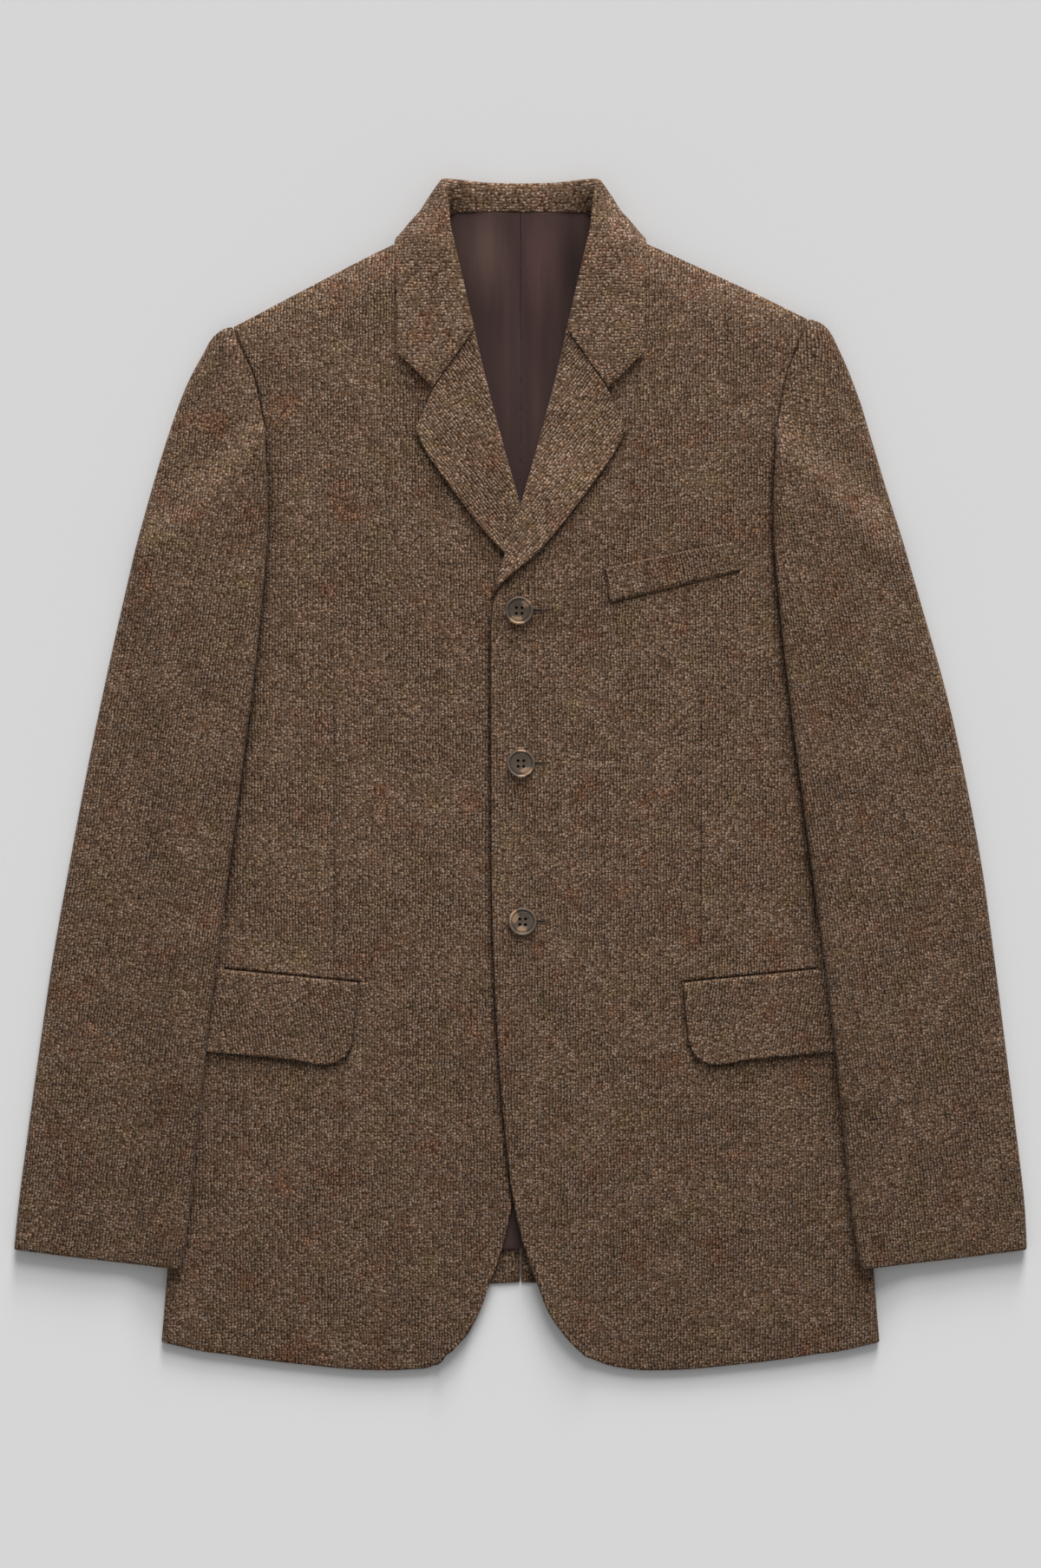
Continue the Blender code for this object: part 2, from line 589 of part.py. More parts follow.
def make_collar():
    """Stand and leaf in one: from the neck's seam up to the fold, over and down to the edge."""
    seam, fold, bend, edge = collar_rows(19)
    back = (seam + bend) / 2 - fold
    back /= np.linalg.norm(back, axis=1, keepdims=True)
    apart = bend - seam
    apart -= back * np.sum(apart * back, axis=1, keepdims=True)
    apart /= np.linalg.norm(apart, axis=1, keepdims=True)
    cheek = fold + back * COLLAR_ROUND * 0.9
    stand_cheek, leaf_cheek = cheek - apart * COLLAR_ROUND, cheek + apart * COLLAR_ROUND
    turn = 0.30 * COLLAR_ROUND
    near_stand = fold + back * turn - apart * COLLAR_ROUND * 0.72
    near_leaf = fold + back * turn + apart * COLLAR_ROUND * 0.72
    knots = np.stack(
        [seam, stand_cheek, near_stand, fold, near_leaf, leaf_cheek, bend, edge], axis=1
    )
    rows = []
    for index, row in enumerate(knots):
        steps = np.linalg.norm(np.diff(row, axis=0), axis=1)
        chord = np.concatenate([[0.0], np.cumsum(steps)])
        at = np.concatenate([
            np.linspace(chord[0], chord[1], 3)[:-1], chord[1:5],
            np.linspace(chord[5], chord[6], 4)[:-1], np.linspace(chord[6], chord[7], 4),
        ])
        curved = np.stack([smooth(chord, axis, at) for axis in row.T], axis=1)
        straight = np.stack([np.interp(at, chord, axis) for axis in row.T], axis=1)
        notched = float(ease((index - 12) / 6.0))
        rows.append(curved + (straight - curved) * notched)
    half = np.array(rows)
    half[..., 2] = np.maximum(half[..., 2], 0.0)
    on_front = (below_shoulder(half[..., 0], half[..., 1]) > 0.0) & (
        np.arange(half.shape[0])[:, None] > 11) & (np.arange(half.shape[1])[None] > 5)
    rest = front_top(half[..., 0], half[..., 1]) + LAY + COLLAR_CLOTH
    half[..., 2] = np.where(on_front, np.maximum(half[..., 2], rest), half[..., 2])
    other = half[:0:-1] * np.array([-1.0, 1.0, 1.0])
    whole = np.concatenate([other, half], axis=0)
    return sheet("collar", whole, COLLAR_CLOTH, 1, "tweed_collar")


def make_flap(side):
    across = stops(9)
    plan = patch(stops(5), across, FLAP_TOP, FLAP_HEM, FLAP_END, (FLAP_TOP[-1], FLAP_HEM[-1]))
    top = front_top(plan[..., 0], plan[..., 1]) + LAY
    return sheet(side_name("flap", side), laid(plan, top), FLAP_CLOTH, side, outer=False)


def make_welt():
    ends = (WELT_TOP[0], WELT_HEM[0]), (WELT_TOP[-1], WELT_HEM[-1])
    plan = patch(stops(3), stops(8), WELT_TOP, WELT_HEM, *ends)
    out, up = plan[..., 0], plan[..., 1]
    top = front_top(out, up) + front_lift(out, up, 1) + LAPEL_LAY
    return sheet("breast_welt", laid(plan, top), FLAP_CLOTH, 1, outer=False)


def make_button(name):
    out, up = BUTTON_PLACES[name]
    ring = np.linspace(0, 2 * math.pi, 17)
    around = front_top(out + BUTTON_RADIUS * np.cos(ring), up + BUTTON_RADIUS * np.sin(ring))
    lift = front_lift(out + BUTTON_RADIUS * np.cos(ring), up + BUTTON_RADIUS * np.sin(ring), 1)
    base = float((around + lift).max()) + LAY
    profile = (
        (0.0, BUTTON_HEIGHT - 1.3), (BUTTON_RADIUS - 3.4, BUTTON_HEIGHT - 1.2),
        (BUTTON_RADIUS - BUTTON_RIM, BUTTON_HEIGHT), (BUTTON_RADIUS - 0.4, BUTTON_HEIGHT - 0.5),
        (BUTTON_RADIUS, BUTTON_HEIGHT - 1.6), (BUTTON_RADIUS - 2.6, 0.0), (0.0, 0.0),
    )
    mesh = bpy.data.meshes.new(name)
    mesh.from_pydata([(r * MM, 0.0, z * MM) for r, z in profile],
                     [(i, i + 1) for i in range(len(profile) - 1)], [])
    button = bpy.data.objects.new(name, mesh)
    button.location = (out * MM, (up - MIDDLE_UP) * MM, base * MM)
    mesh.materials.append(material("horn"))
    COLLECTION.objects.link(button)
    turned = button.modifiers.new("turned", "SCREW")
    turned.steps = turned.render_steps = 24
    turned.use_merge_vertices = True
    turned.merge_threshold = 0.00001
    drills = bmesh.new()
    for place in range(4):
        angle = math.radians(45 + 90 * place)
        drill = bmesh.ops.create_cone(
            drills, cap_ends=True, segments=8, radius1=HOLE_RADIUS * MM,
            radius2=HOLE_RADIUS * MM, depth=3 * BUTTON_HEIGHT * MM,
        )["verts"]
        reach = HOLE_SPACING / math.sqrt(2) * MM
        bmesh.ops.translate(
            drills, verts=drill, vec=(reach * math.cos(angle), reach * math.sin(angle), 0.0)
        )
    cutter_mesh = bpy.data.meshes.new(name + "_drills")
    drills.to_mesh(cutter_mesh)
    drills.free()
    cutter = bpy.data.objects.new(name + "_drills", cutter_mesh)
    cutter.location = button.location
    cutter.hide_render = True
    cutter.display_type = "WIRE"
    CUTTERS.objects.link(cutter)
    cut = button.modifiers.new("holes", "BOOLEAN")
    cut.object = cutter
    cut.solver = "EXACT"
    return button


def clear_scene():
    for thing in list(bpy.data.objects):
        bpy.data.objects.remove(thing, do_unlink=True)


def new_collection(name):
    made = bpy.data.collections.new(name)
    bpy.context.scene.collection.children.link(made)
    return made


clear_scene()
COLLECTION = new_collection("tweed_lounge_jacket")
CUTTERS = new_collection("cutters")
CUTTERS.hide_render = True

for half_side in (1, -1):
    make_back(half_side)
    make_lining(half_side)
    make_side(half_side)
    make_front(half_side)
    make_facing(half_side)
    make_sleeve(half_side)
    make_under_sleeve(half_side)
    make_flap(half_side)
make_welt()
make_collar()
for button_name in BUTTON_PLACES:
    make_button(button_name)
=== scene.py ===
"""Tweed lounge jacket laid flat on its back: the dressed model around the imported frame.

Lengths are in millimetres until a point is placed. Each half is worked out in "out, up"
coordinates: out from the centre line, up towards the collar. X points to the wearer's left.
"""

import math

import bmesh
import bpy
import numpy as np
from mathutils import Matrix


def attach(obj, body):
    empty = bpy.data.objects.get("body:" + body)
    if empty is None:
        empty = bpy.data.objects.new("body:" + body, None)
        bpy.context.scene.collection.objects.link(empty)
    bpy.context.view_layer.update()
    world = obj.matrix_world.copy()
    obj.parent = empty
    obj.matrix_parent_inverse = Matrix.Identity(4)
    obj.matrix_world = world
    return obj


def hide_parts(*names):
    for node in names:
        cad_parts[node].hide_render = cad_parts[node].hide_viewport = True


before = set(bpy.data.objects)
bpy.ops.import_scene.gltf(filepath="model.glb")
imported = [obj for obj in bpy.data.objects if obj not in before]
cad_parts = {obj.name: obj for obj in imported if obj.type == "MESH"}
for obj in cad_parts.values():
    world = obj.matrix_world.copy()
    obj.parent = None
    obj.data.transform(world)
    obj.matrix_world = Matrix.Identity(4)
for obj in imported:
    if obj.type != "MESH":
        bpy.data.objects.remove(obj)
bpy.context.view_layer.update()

bl_info = {
    "name": "Tweed lounge jacket",
    "version": (1, 0, 0),
    "blender": (4, 5, 0),
    "location": "3D View > Sidebar > Jacket",
    "description": "Builds a tweed lounge jacket, laid flat and buttoned, piece by piece",
    "category": "Add Mesh",
}

MM = 0.001
UV_UNIT = 10 * MM
COLLECTION = "tweed_lounge_jacket"

# Thickness of each cloth and the gaps at seams and between layers, as in the solids
FRONT_CLOTH = 2.5
BACK_CLOTH = 2.0
SLEEVE_CLOTH = 2.6
COLLAR_CLOTH = 2.1
FLAP_CLOTH = 2.2
LINING_CLOTH = 1.0
SEAM = 0.3
CENTRE = SEAM / 2
LAY = 0.45
LAPEL_LAY = 0.65
SIDE_SEAM = 0.9
LINING_LAY = 0.8
LINING_RISE = 0.5

# How the jacket lies: levels, rounds, laps and lifts
SEAM_LEVEL = 8.0
BACK_SEAM_LEVEL = 5.6
SHOULDER_ROUND = 26.0
BACK_ROUND = 9.0
SLEEVE_TUBE = 8.2
SLEEVE_LIFT = 1.0
SLEEVE_DROP = 30.0
HEAD_ROUND = 16.0
SIDE_TOP_LAP = 28.0
SIDE_BACK_LAP = 50.0
COLLAR_RAISE = 3.0
ROLL_IN = 6.0
OVERLAP_LIFT = 3.4
LAPEL_LIFT = 2.2
CROSSING_LIFT = 3.0
CROSSING_PRESS = 3.6
CROSSING_UP = 166.0
SHOULDER_TILT = 2.7
MIDDLE_UP = 0.7

UNDERARM_UP = 150.0
LINING_END = -327.0
LINING_OUT = 172.0


def table(columns, *rows):
    """A small table with named columns."""
    return dict(zip(columns.split(), np.array(rows, float).T))


SIDE = table(
    "up side",
    (150, 245.5), (50, 238.0), (-60, 232.8), (-123, 233.2), (-200, 237.0), (-300, 242.0),
    (-342, 244.3), (-395, 248.4),
)
HEIGHT = table(
    "up crown side",
    (-412, 5.8, 5.8), (-330, 7.2, 6.6), (-240, 8.2, 7.2), (-150, 9.0, 7.6), (-50, 9.2, 7.6),
    (30, 9.8, 7.8), (90, 12.0, 8.3), (150, 15.6, 9.3), (222, 18.6, 11.0), (260, 19.8, 13.0),
    (300, 20.4, 14.6), (400, 20.4, 15.6),
)
SLEEVE = table(
    "up inner left right",
    (313, 198.4, 199.0, 199.0), (296.7, 192.9, 218.4, 218.1), (278.7, 185.4, 227.1, 227.4),
    (260.7, 181.3, 234.3, 234.9), (236.7, 177.6, 241.6, 243.3), (200.7, 174.9, 252.4, 254.4),
    (164.7, 175.0, 263.7, 264.3), (116.7, 178.9, 277.8, 275.7), (56.7, 185.4, 294.8, 289.0),
    (-3.3, 193.2, 308.2, 301.2), (-63.3, 201.0, 319.3, 312.4), (-123.3, 209.2, 327.5, 323.1),
    (-183.3, 216.4, 335.1, 332.0), (-243.3, 222.6, 342.6, 340.3), (-303.3, 228.8, 349.2, 348.0),
    (-345, 235.0, 351.2, 351.2),
)
CUFF = ((234.6, -340.8), (292.0, -334.6), (350.3, -327.4))
SLEEVE_HEAD = ((198.5, 313.3), (204.8, 311.8), (210.6, 308.2), (215.3, 302.6))
LAP = table(
    "up inner", (314, 1.5), (280, 6.0), (240, 8.3), (205, 12.0), (180, 15.0), (-345, 15.0)
)
OUTER_LAP = 0.2
ROLL = table(
    "up roll",
    (308.7, 31.8), (279.3, 25.1), (248.5, 17.2), (211.0, 6.8), (190.0, 0.8), (164.0, -7.9),
    (134.8, -16.5), (126.0, -18.8),
)
LAPEL_EDGE = ((72.4, 239.5), (67.0, 227.3), (59.7, 215.6), (50.2, 202.1), (39.2, 187.5),
              (25.7, 170.3), (11.0, 153.5), (-4.3, 140.9), (-13.0, 133.2))
NOTCH = (59.6, 267.3)
GORGE = (31.8, 308.7)
EDGE = table(
    "up edge",
    (124, -17.4), (112, -19.5), (100, -20.2), (80, -20.3), (0, -20.1), (-90, -19.4),
    (-160, -16.8), (-220, -12.9), (-260, -9.0), (-294.3, -4.5), (-327.3, 3.3), (-353.7, 12.9),
    (-368.1, 18.3), (-378.9, 24.9), (-389.7, 33.9), (-400.5, 45.9),
)
CUTAWAY_SHIFT = 9.2
HEM = ((45.9, -400.5), (59.7, -407.0), (78.3, -410.4), (104.0, -410.8), (150.0, -407.0),
       (185.0, -402.8), (206.0, -399.6), (220.4, -397.2))
NECK = ((CENTRE, 390.4), (24.0, 390.2), (44.0, 388.4), (57.0, 381.0))
FRONT_NECK = ((57.0, 381.0), (50.5, 352.0), (45.5, 330.0))
SHOULDER = ((57.0, 381.0), (90.0, 366.8), (136.0, 344.7), (198.0, 313.7))
SHOULDER_SLOPE = 0.494
SHOULDER_AT_CENTRE = 411.8
BACK_HEM = ((CENTRE, -350.2), (90.0, -356.0), (180.0, -376.0), (198.0, -381.0))
FLAP_TOP = ((112.3, -142.8), (219.0, -132.2))
FLAP_END = ((112.3, -142.8), (115.4, -172.0), (117.0, -185.0), (121.2, -194.2))
FLAP_HEM = ((121.2, -194.2), (129.5, -198.3), (160.0, -195.6), (220.0, -190.2))
WELT_TOP = ((58.6, 143.3), (104.0, 153.2), (149.2, 161.7))
WELT_HEM = ((61.8, 120.0), (107.0, 131.2), (151.4, 142.2))
COLLAR = table(
    "seam_out seam_up seam_z fold_out fold_up fold_z "
    "bend_out bend_up bend_z edge_out edge_up edge_z",
    (0, 390.8, 8.2, 0, 409.8, 5.9, 0, 402.0, 0.3, 0, 378.0, 0.0),
    (23, 390.7, 8.3, 24, 410.4, 7.0, 25, 402.5, 0.4, 27, 377.5, 0.0),
    (40, 390.3, 8.8, 44, 412.0, 13.0, 47, 405.5, 2.0, 50, 376.0, 0.0),
    (50.2, 389.6, 8.8, 53.2, 410.6, 20.5, 60.5, 403.4, 9.0, 66, 377.0, 0.3),
    (52.4, 378.5, 12.0, 50.9, 397.5, 25.0, 67.8, 392.5, 12.0, 77, 377.4, 2.2),
    (51.4, 368.0, 15.5, 48.9, 382.0, 27.0, 74.8, 382.0, 16.0, 85.3, 373.2, 6.2),
    (49.0, 357.0, 17.0, 45.7, 368.0, 27.4, 69.0, 371.0, 25.5, 87.4, 368.0, 15.4),
    (45.8, 343.0, 17.4, 41.6, 351.0, 27.4, 64.0, 351.0, 26.5, 86.2, 349.0, 22.0),
    (41.2, 326.5, 17.4, 37.0, 331.0, 27.2, 61.0, 317.0, 26.0, 85.6, 322.0, 24.0),
    (35.6, 310.6, 17.4, 32.1, 310.2, 26.8, 60.5, 268.6, 24.2, 85.5, 292.6, 23.8),
)
COLLAR_ROUND = 3.6
LEAF_START = 24  # the collar's column where the leaf leaves the fold
EDGE_OUT = 0.45
DARTS = {1: 124.5, -1: 128.7}
DART_ENDS = (-138.0, 88.0)
SIDE_END = -394.5
SIDE_HEM = ((198.0, 220.4, 247.6), (-381.0, -398.0, -391.6))

# Sewn stretches: start, its run, end, its run. Up the jacket, or along a seam from 0 to 1
ARMHOLE_SEWN = (212.0, 20.0, 318.0, 12.0)
DART_SEWN = (DART_ENDS[0], 24.0, DART_ENDS[1], 40.0)
FLAP_SEWN = (-0.02, 0.02, 1.06, 0.02)
WELT_SEWN = (-0.01, 0.02, 1.01, 0.02)

# Grooves: width and depth of the pressed line
GROOVE = {"dart": (0.5, 0.9), "mouth": (0.6, 1.5), "welt": (0.6, 0.9), "opening": (2.4, 1.9)}

# Painted shade along seams and edges: darkness and width of the line, then darkness and reach of
# the shade beside it
PAINTED_SHADE = {
    "dart": (0.35, 0.8), "mouth": (0.45, 0.9), "welt_seam": (0.30, 0.9),
    "sleeve": (0.45, 2.6, 0.28, 7.0), "armhole": (0.35, 1.4, 0.16, 7.0),
    "lapel": (0.45, 2.4, 0.18, 5.5), "flap": (0.42, 1.8, 0.14, 5.0),
    "welt": (0.40, 1.3, 0.10, 3.5), "opening": (0.62, 1.5, 0.16, 4.5),
}
PAINTED_SHADE_LIMIT = 0.8

# Cloth: how far nubs stray from their rows, and where on the bolt the right half is cut
NUB_SCATTER = 0.72
CLOTH_AWAY = (517.0, 263.0)
RIM_STEPS = 5

# Painted sheen and shade on the lining: side, centre, size and colour factor
SATIN_PATCHES = (
    (-1, (25.0, 360.0), (24.0, 46.0), (1.75, 1.8, 1.75)),
    (1, (13.0, 350.0), (17.0, 60.0), (1.6, 1.5, 1.45)),
    (1, (36.0, 355.0), (12.0, 44.0), (0.55, 0.55, 0.55)),
    (-1, (8.0, 300.0), (12.0, 90.0), (1.3, 1.3, 1.3)),
    (1, (14.0, 240.0), (12.0, 70.0), (1.3, 1.25, 1.25)),
)

# Buttons: (radius, height) profiles, and a stitch's half width, length and height
BUTTON_REACH = 9.0
BUTTON_PROFILE = (
    (0.0, 2.2), (2.6, 2.22), (4.2, 2.34), (5.6, 2.5), (6.2, 2.6), (6.8, 2.56), (7.3, 2.2),
    (7.7, 2.2), (8.0, 2.8), (8.35, 3.4), (8.75, 3.6), (9.15, 3.5), (9.45, 3.1), (9.65, 2.4),
    (9.55, 1.7), (9.0, 0.9), (8.0, 0.3), (6.8, 0.0), (0.0, 0.0),
)
SHANK_PROFILE = ((0.0, 0.4), (3.4, 0.4), (3.9, 0.1), (3.9, -1.1), (0.0, -1.1))
HOLE_REACH = 1.95
HOLE_RADIUS = 1.05
BUTTON_LIFT = 0.35
STITCH = (0.36, 0.55, 0.30)
STITCH_STEP = 0.6
SLIT_REACH = (0.12, 1.27)

# Warm patches on each button: place from its middle, and size
HORN_PATCHES = {
    "button_1": (((4.2, 4.9), (4.4, 4.0)), ((-2.6, -6.2), (6.8, 4.6)), ((1.5, -9.0), (6.0, 2.5))),
    "button_2": (((3.4, -5.0), (5.6, 4.6)), ((0.5, 9.2), (4.0, 1.6)), ((0.0, -9.2), (5.0, 2.0))),
    "button_3": (((-6.0, 2.8), (4.8, 5.8)), ((-0.4, -5.2), (5.6, 4.0)), ((-7.0, 6.5), (4.0, 3.0))),
}
BUTTON_PLACES = {"button_1": (-0.9, 114.3), "button_2": (0.3, 8.7), "button_3": (1.5, -100.5)}

# Stage: suns lean back from straight down, in degrees, and are as wide as soft windows
SUNS = {"window": (1.75, 30.0, 56.0), "low_window": (1.9, 16.0, 74.0)}
SUN_TURN = -6.0
SKY = 0.36
FLOOR_REACH = 6.0
FLOOR_LEVEL = -0.0002
FLOOR_COLOUR = (0.80, 0.80, 0.802, 1.0)
CAMERA_HEIGHT = 6.0
CAMERA_UP = -0.0061
CLOTH_MIDDLE = 0.006
FRAME_TALL = 1.0842


# --- Curves and grids


def ease(share):
    """0 up to a share of 0 and 1 from a share of 1, with a soft change between."""
    share = np.clip(share, 0.0, 1.0)
    return share * share * (3.0 - 2.0 * share)


def between(value, start, rise, end, fall):
    """1 between two values, rising softly after the first and falling before the other."""
    return ease((value - start) / rise) * ease((end - value) / fall)


def bell(distance, width):
    """1 on a line and softly less beside it."""
    return np.exp(-((distance / width) ** 2))


def quarter_round(share):
    """Height of a quarter circle at a share of its run."""
    share = np.clip(share, 0.0, 1.0)
    return np.sqrt(1.0 - (1.0 - share) ** 2)


def higher(first, second, blend=2.4):
    """The higher of two surfaces, with a soft change from one to the other."""
    return 0.5 * (first + second + np.sqrt((first - second) ** 2 + blend**2))


def smooth(keys, values, at):
    """A smooth curve through (key, value) pairs, read at other keys."""
    keys, values = np.asarray(keys, float), np.asarray(values, float)
    if keys[0] > keys[-1]:
        keys, values = keys[::-1], values[::-1]
    slopes = np.gradient(values, keys)
    at = np.clip(at, keys[0], keys[-1])
    left = np.clip(np.searchsorted(keys, at) - 1, 0, len(keys) - 2)
    span = keys[left + 1] - keys[left]
    t = (at - keys[left]) / span
    return (
        values[left] * (2 * t**3 - 3 * t**2 + 1)
        + values[left + 1] * (3 * t**2 - 2 * t**3)
        + slopes[left] * span * (t**3 - 2 * t**2 + t)
        + slopes[left + 1] * span * (t**3 - t**2)
    )


def column(rows, name, up):
    """One column of a table, read at any height up the jacket."""
    return smooth(rows["up"], rows[name], up)


def lengths(points):
    """How far along a line each of its points lies."""
    steps = np.linalg.norm(np.diff(points, axis=0), axis=1)
    return np.concatenate([[0.0], np.cumsum(steps)])


def read_along(points, at, places):
    """Points read at places along a line, given the place of each of its own points."""
    return np.stack([np.interp(places, at, axis) for axis in points.T], axis=-1)


def path(points, shares):
    """Points along a smooth curve, at shares of its length."""
    points = np.array(points, float)
    chord = lengths(points)
    fine = np.linspace(0.0, chord[-1], 1200)
    curve = np.stack([smooth(chord, axis, fine) for axis in points.T], axis=1)
    length = lengths(curve)
    return read_along(curve, length, np.asarray(shares) * length[-1])


def patch(down, across, top, hem, inner, outer):
    """A grid of (out, up) points between four edges: a Coons patch."""
    v = np.asarray(down)[:, None, None]
    u = np.asarray(across)[None, :, None]
    top, hem = path(top, across)[None], path(hem, across)[None]
    inner, outer = path(inner, down)[:, None], path(outer, down)[:, None]
    corners = (
        (1 - u) * (1 - v) * top[:, :1]
        + u * (1 - v) * top[:, -1:]
        + (1 - u) * v * hem[:, :1]
        + u * v * hem[:, -1:]
    )
    return (1 - v) * top + v * hem + (1 - u) * inner + u * outer - corners


def gathered(plan, axis, above, reach=7.0, steps=9):
    """The same grid with rows (axis 0) or columns (axis 1) drawn close along a line.

    Above gives each point's signed distance from the line, falling along the axis.
    """
    grid = np.swapaxes(plan, 0, 1) if axis else plan
    index = np.arange(len(grid), dtype=float)
    end = index[-1]
    near = np.linspace(-1.0, 1.0, 2 * steps + 1)
    near = reach * np.sign(near) * np.abs(near) ** 1.7
    lines = np.swapaxes(grid, 0, 1)
    close = []
    for line in lines:
        along = np.maximum.accumulate(-above(line[:, 0], line[:, 1]) + index * 1e-6)
        close.append(np.interp(near, along, index))
    close = np.array(close)
    before = index[index < close[:, 0].max()]
    after = index[index > close[:, -1].min()]
    made = []
    for line, middle in zip(lines, close):
        first = before * (middle[0] / (before[-1] + 1.0))
        last = end - (end - after) * ((end - middle[-1]) / (end - after[0] + 1.0))
        made.append(read_along(line, index, np.concatenate([first, middle, last])))
    made = np.swapaxes(np.array(made), 0, 1)
    return np.swapaxes(made, 0, 1) if axis else made


def stops(count, tight=0.0, tight_count=0):
    """Shares from 0 to 1, closer together in the first stretch."""
    if not tight_count:
        return np.linspace(0.0, 1.0, count + 1)
    start = tight * np.linspace(0.0, 1.0, tight_count + 1)[:-1] ** 1.6
    return np.concatenate([start, np.linspace(tight, 1.0, count + 1)])


# --- Surfaces


def side_line(up):
    """How far out the body's side lies."""
    return column(SIDE, "side", up)


def below_shoulder(out, up):
    """Distance down from the shoulder's edge."""
    return (SHOULDER_AT_CENTRE - SHOULDER_SLOPE * out - up) / math.hypot(1.0, SHOULDER_SLOPE)


def front_top(out, up):
    """Outer face of a front, or of the side panel's upper layer."""
    crown, side = column(HEIGHT, "crown", up), column(HEIGHT, "side", up)
    share = np.abs(out) / side_line(up)
    level = side + (crown - side) * (1.0 - ease((share - 0.30) / 0.48))
    rise = quarter_round(below_shoulder(out, up) / SHOULDER_ROUND)
    return SEAM_LEVEL + SEAM / 2 + (level - SEAM_LEVEL - SEAM / 2) * rise


def front_lift(out, up, side):
    """Extra height where the left front lies on the right one."""
    press = CROSSING_PRESS * bell(up - CROSSING_UP, 42.0)
    press = press * (1.0 - ease((out - 20.0) / 46.0))
    if side < 0:
        return -press
    over = 1.0 - ease((out - 27.0) / 40.0)
    start = ease((236.0 - up) / 40.0)
    under_lapel = ease((up - 96.0) / 26.0) * start
    crossing = bell(up - CROSSING_UP, 34.0)
    lift = OVERLAP_LIFT * start + LAPEL_LIFT * under_lapel + CROSSING_LIFT * crossing
    return over * lift - press


def back_under(out, up):
    """Underside of the back."""
    rise = BACK_SEAM_LEVEL * (1.0 - quarter_round(below_shoulder(out, up) / BACK_ROUND))
    neck = COLLAR_RAISE * ease((up - 300.0) / 66.0) * (1.0 - ease((out - 55.0) / 80.0))
    return np.maximum(rise, neck)


def sleeve_under(out, up):
    """Underside of a sleeve: on the front, then down beside the body to the surface."""
    past_underarm = (out - 172.0 + up - 230.0) * math.sqrt(0.5)
    past_side = out - side_line(up) - 3.0
    drop = np.maximum(past_underarm, past_side) / SLEEVE_DROP
    flap = (FLAP_CLOTH + 0.5) * between(up, -245.0, 36.0, -90.0, 32.0)
    return (front_top(out, up) + SLEEVE_LIFT + flap) * (1.0 - ease(drop))


def sleeve_top(out, up, share):
    """Outer face of a sleeve. Its head stands up a little beside the armhole's seam."""
    seam_out = column(SLEEVE, "inner", up)
    seam = front_top(seam_out, up)
    rope = 2.4 * (1.0 - bell(out - seam_out, 7.0))
    dome = (seam + rope - SLEEVE_TUBE) * (1.0 - ease(share * 1.04)) * ease((up - 120.0) / 100.0)
    blend = 2.4 + 4.0 * (1.0 - ease(share / 0.85)) * ease((up - 150.0) / 60.0)
    return higher(sleeve_under(out, up) + SLEEVE_TUBE, SLEEVE_TUBE + dome, blend)


def front_base(out, up, side):
    """Outer face of a front as it lies, without its seams and waves."""
    return front_top(out, up) + front_lift(out, up, side)


def groove(distance, width, depth):
    """A narrow line pressed into the cloth."""
    return -depth * bell(distance, width)


def from_line(out, up, line):
    """Signed height above a nearly level line, and how far along it a point lies."""
    points = path(line, np.linspace(0.0, 1.0, 60))
    along = (out - points[0, 0]) / (points[-1, 0] - points[0, 0])
    beyond = np.minimum(along, 0.0) + np.maximum(along - 1.0, 0.0)
    level = np.interp(out, points[:, 0], points[:, 1]) + beyond * (points[-1, 1] - points[0, 1])
    return up - level, along


def crease_near(distance, near, width, far=0.0, reach=6.0):
    """How dark the painted shade along a line is at a distance from it."""
    return near * bell(distance, width) + far * np.exp(-np.abs(distance) / reach)


def beside_sleeve(out, up):
    """Painted shade on the body's cloth beside a sleeve's inner fold that lies on it."""
    gap = np.maximum(column(SLEEVE, "inner", up) - out, 0.0)
    return crease_near(gap, *PAINTED_SHADE["sleeve"]) * ease((226.0 - up) / 16.0)


def away_from(out, up, line, count=80):
    """Distance from a smooth line through some points."""
    points = path(line, np.linspace(0.0, 1.0, count))
    gaps = (out[..., None] - points[:, 0]) ** 2 + (up[..., None] - points[:, 1]) ** 2
    return np.sqrt(gaps.min(-1))


def dart_seam(out, up, side):
    """Distance from a front's dart, and how fully it is sewn there."""
    return out - DARTS[side], between(up, *DART_SEWN)


def flap_seam(out, up):
    """Height above a hip pocket's mouth, and how fully it is sewn there."""
    above, along = from_line(out, up, FLAP_TOP)
    return above, between(along, *FLAP_SEWN)


def welt_seam(out, up):
    """Height above the breast welt's seam, and how fully it is sewn there."""
    above, along = from_line(out, up, WELT_HEM)
    return above, between(along, *WELT_SEWN)


def front_creases(out, up, side, to_armhole, sewn):
    """Painted shade on a front's wool along its seams and beside what lies on it."""
    beside, inside = dart_seam(out, up, side)
    dark = inside * crease_near(beside, *PAINTED_SHADE["dart"]) + beside_sleeve(out, up)
    by_height = 0.25 + 0.75 * ease((296.0 - up) / 56.0)
    dark = dark + by_height * sewn * crease_near(to_armhole, *PAINTED_SHADE["armhole"])
    above, mouth = flap_seam(out, up)
    dark = dark + mouth * crease_near(above - 0.5, *PAINTED_SHADE["mouth"])
    dark = dark + crease_near(away_from(out, up, LAPEL_EDGE), *PAINTED_SHADE["lapel"])
    flap = np.minimum(away_from(out, up, FLAP_END), away_from(out, up, FLAP_HEM))
    dark = dark + crease_near(flap, *PAINTED_SHADE["flap"])
    if side > 0:
        above, stitched = welt_seam(out, up)
        dark = dark + stitched * crease_near(above + 0.6, *PAINTED_SHADE["welt_seam"])
        opening = away_from(out, up, WELT_TOP)
        end = away_from(out, up, (WELT_TOP[0], WELT_HEM[0]))
        return dark + crease_near(np.minimum(opening, end), *PAINTED_SHADE["welt"])
    edge = crease_near(out + opening_edge(up), *PAINTED_SHADE["opening"])
    return dark + edge * ease((134.0 - up) / 6.0) * ease((up + 345.0) / 30.0)


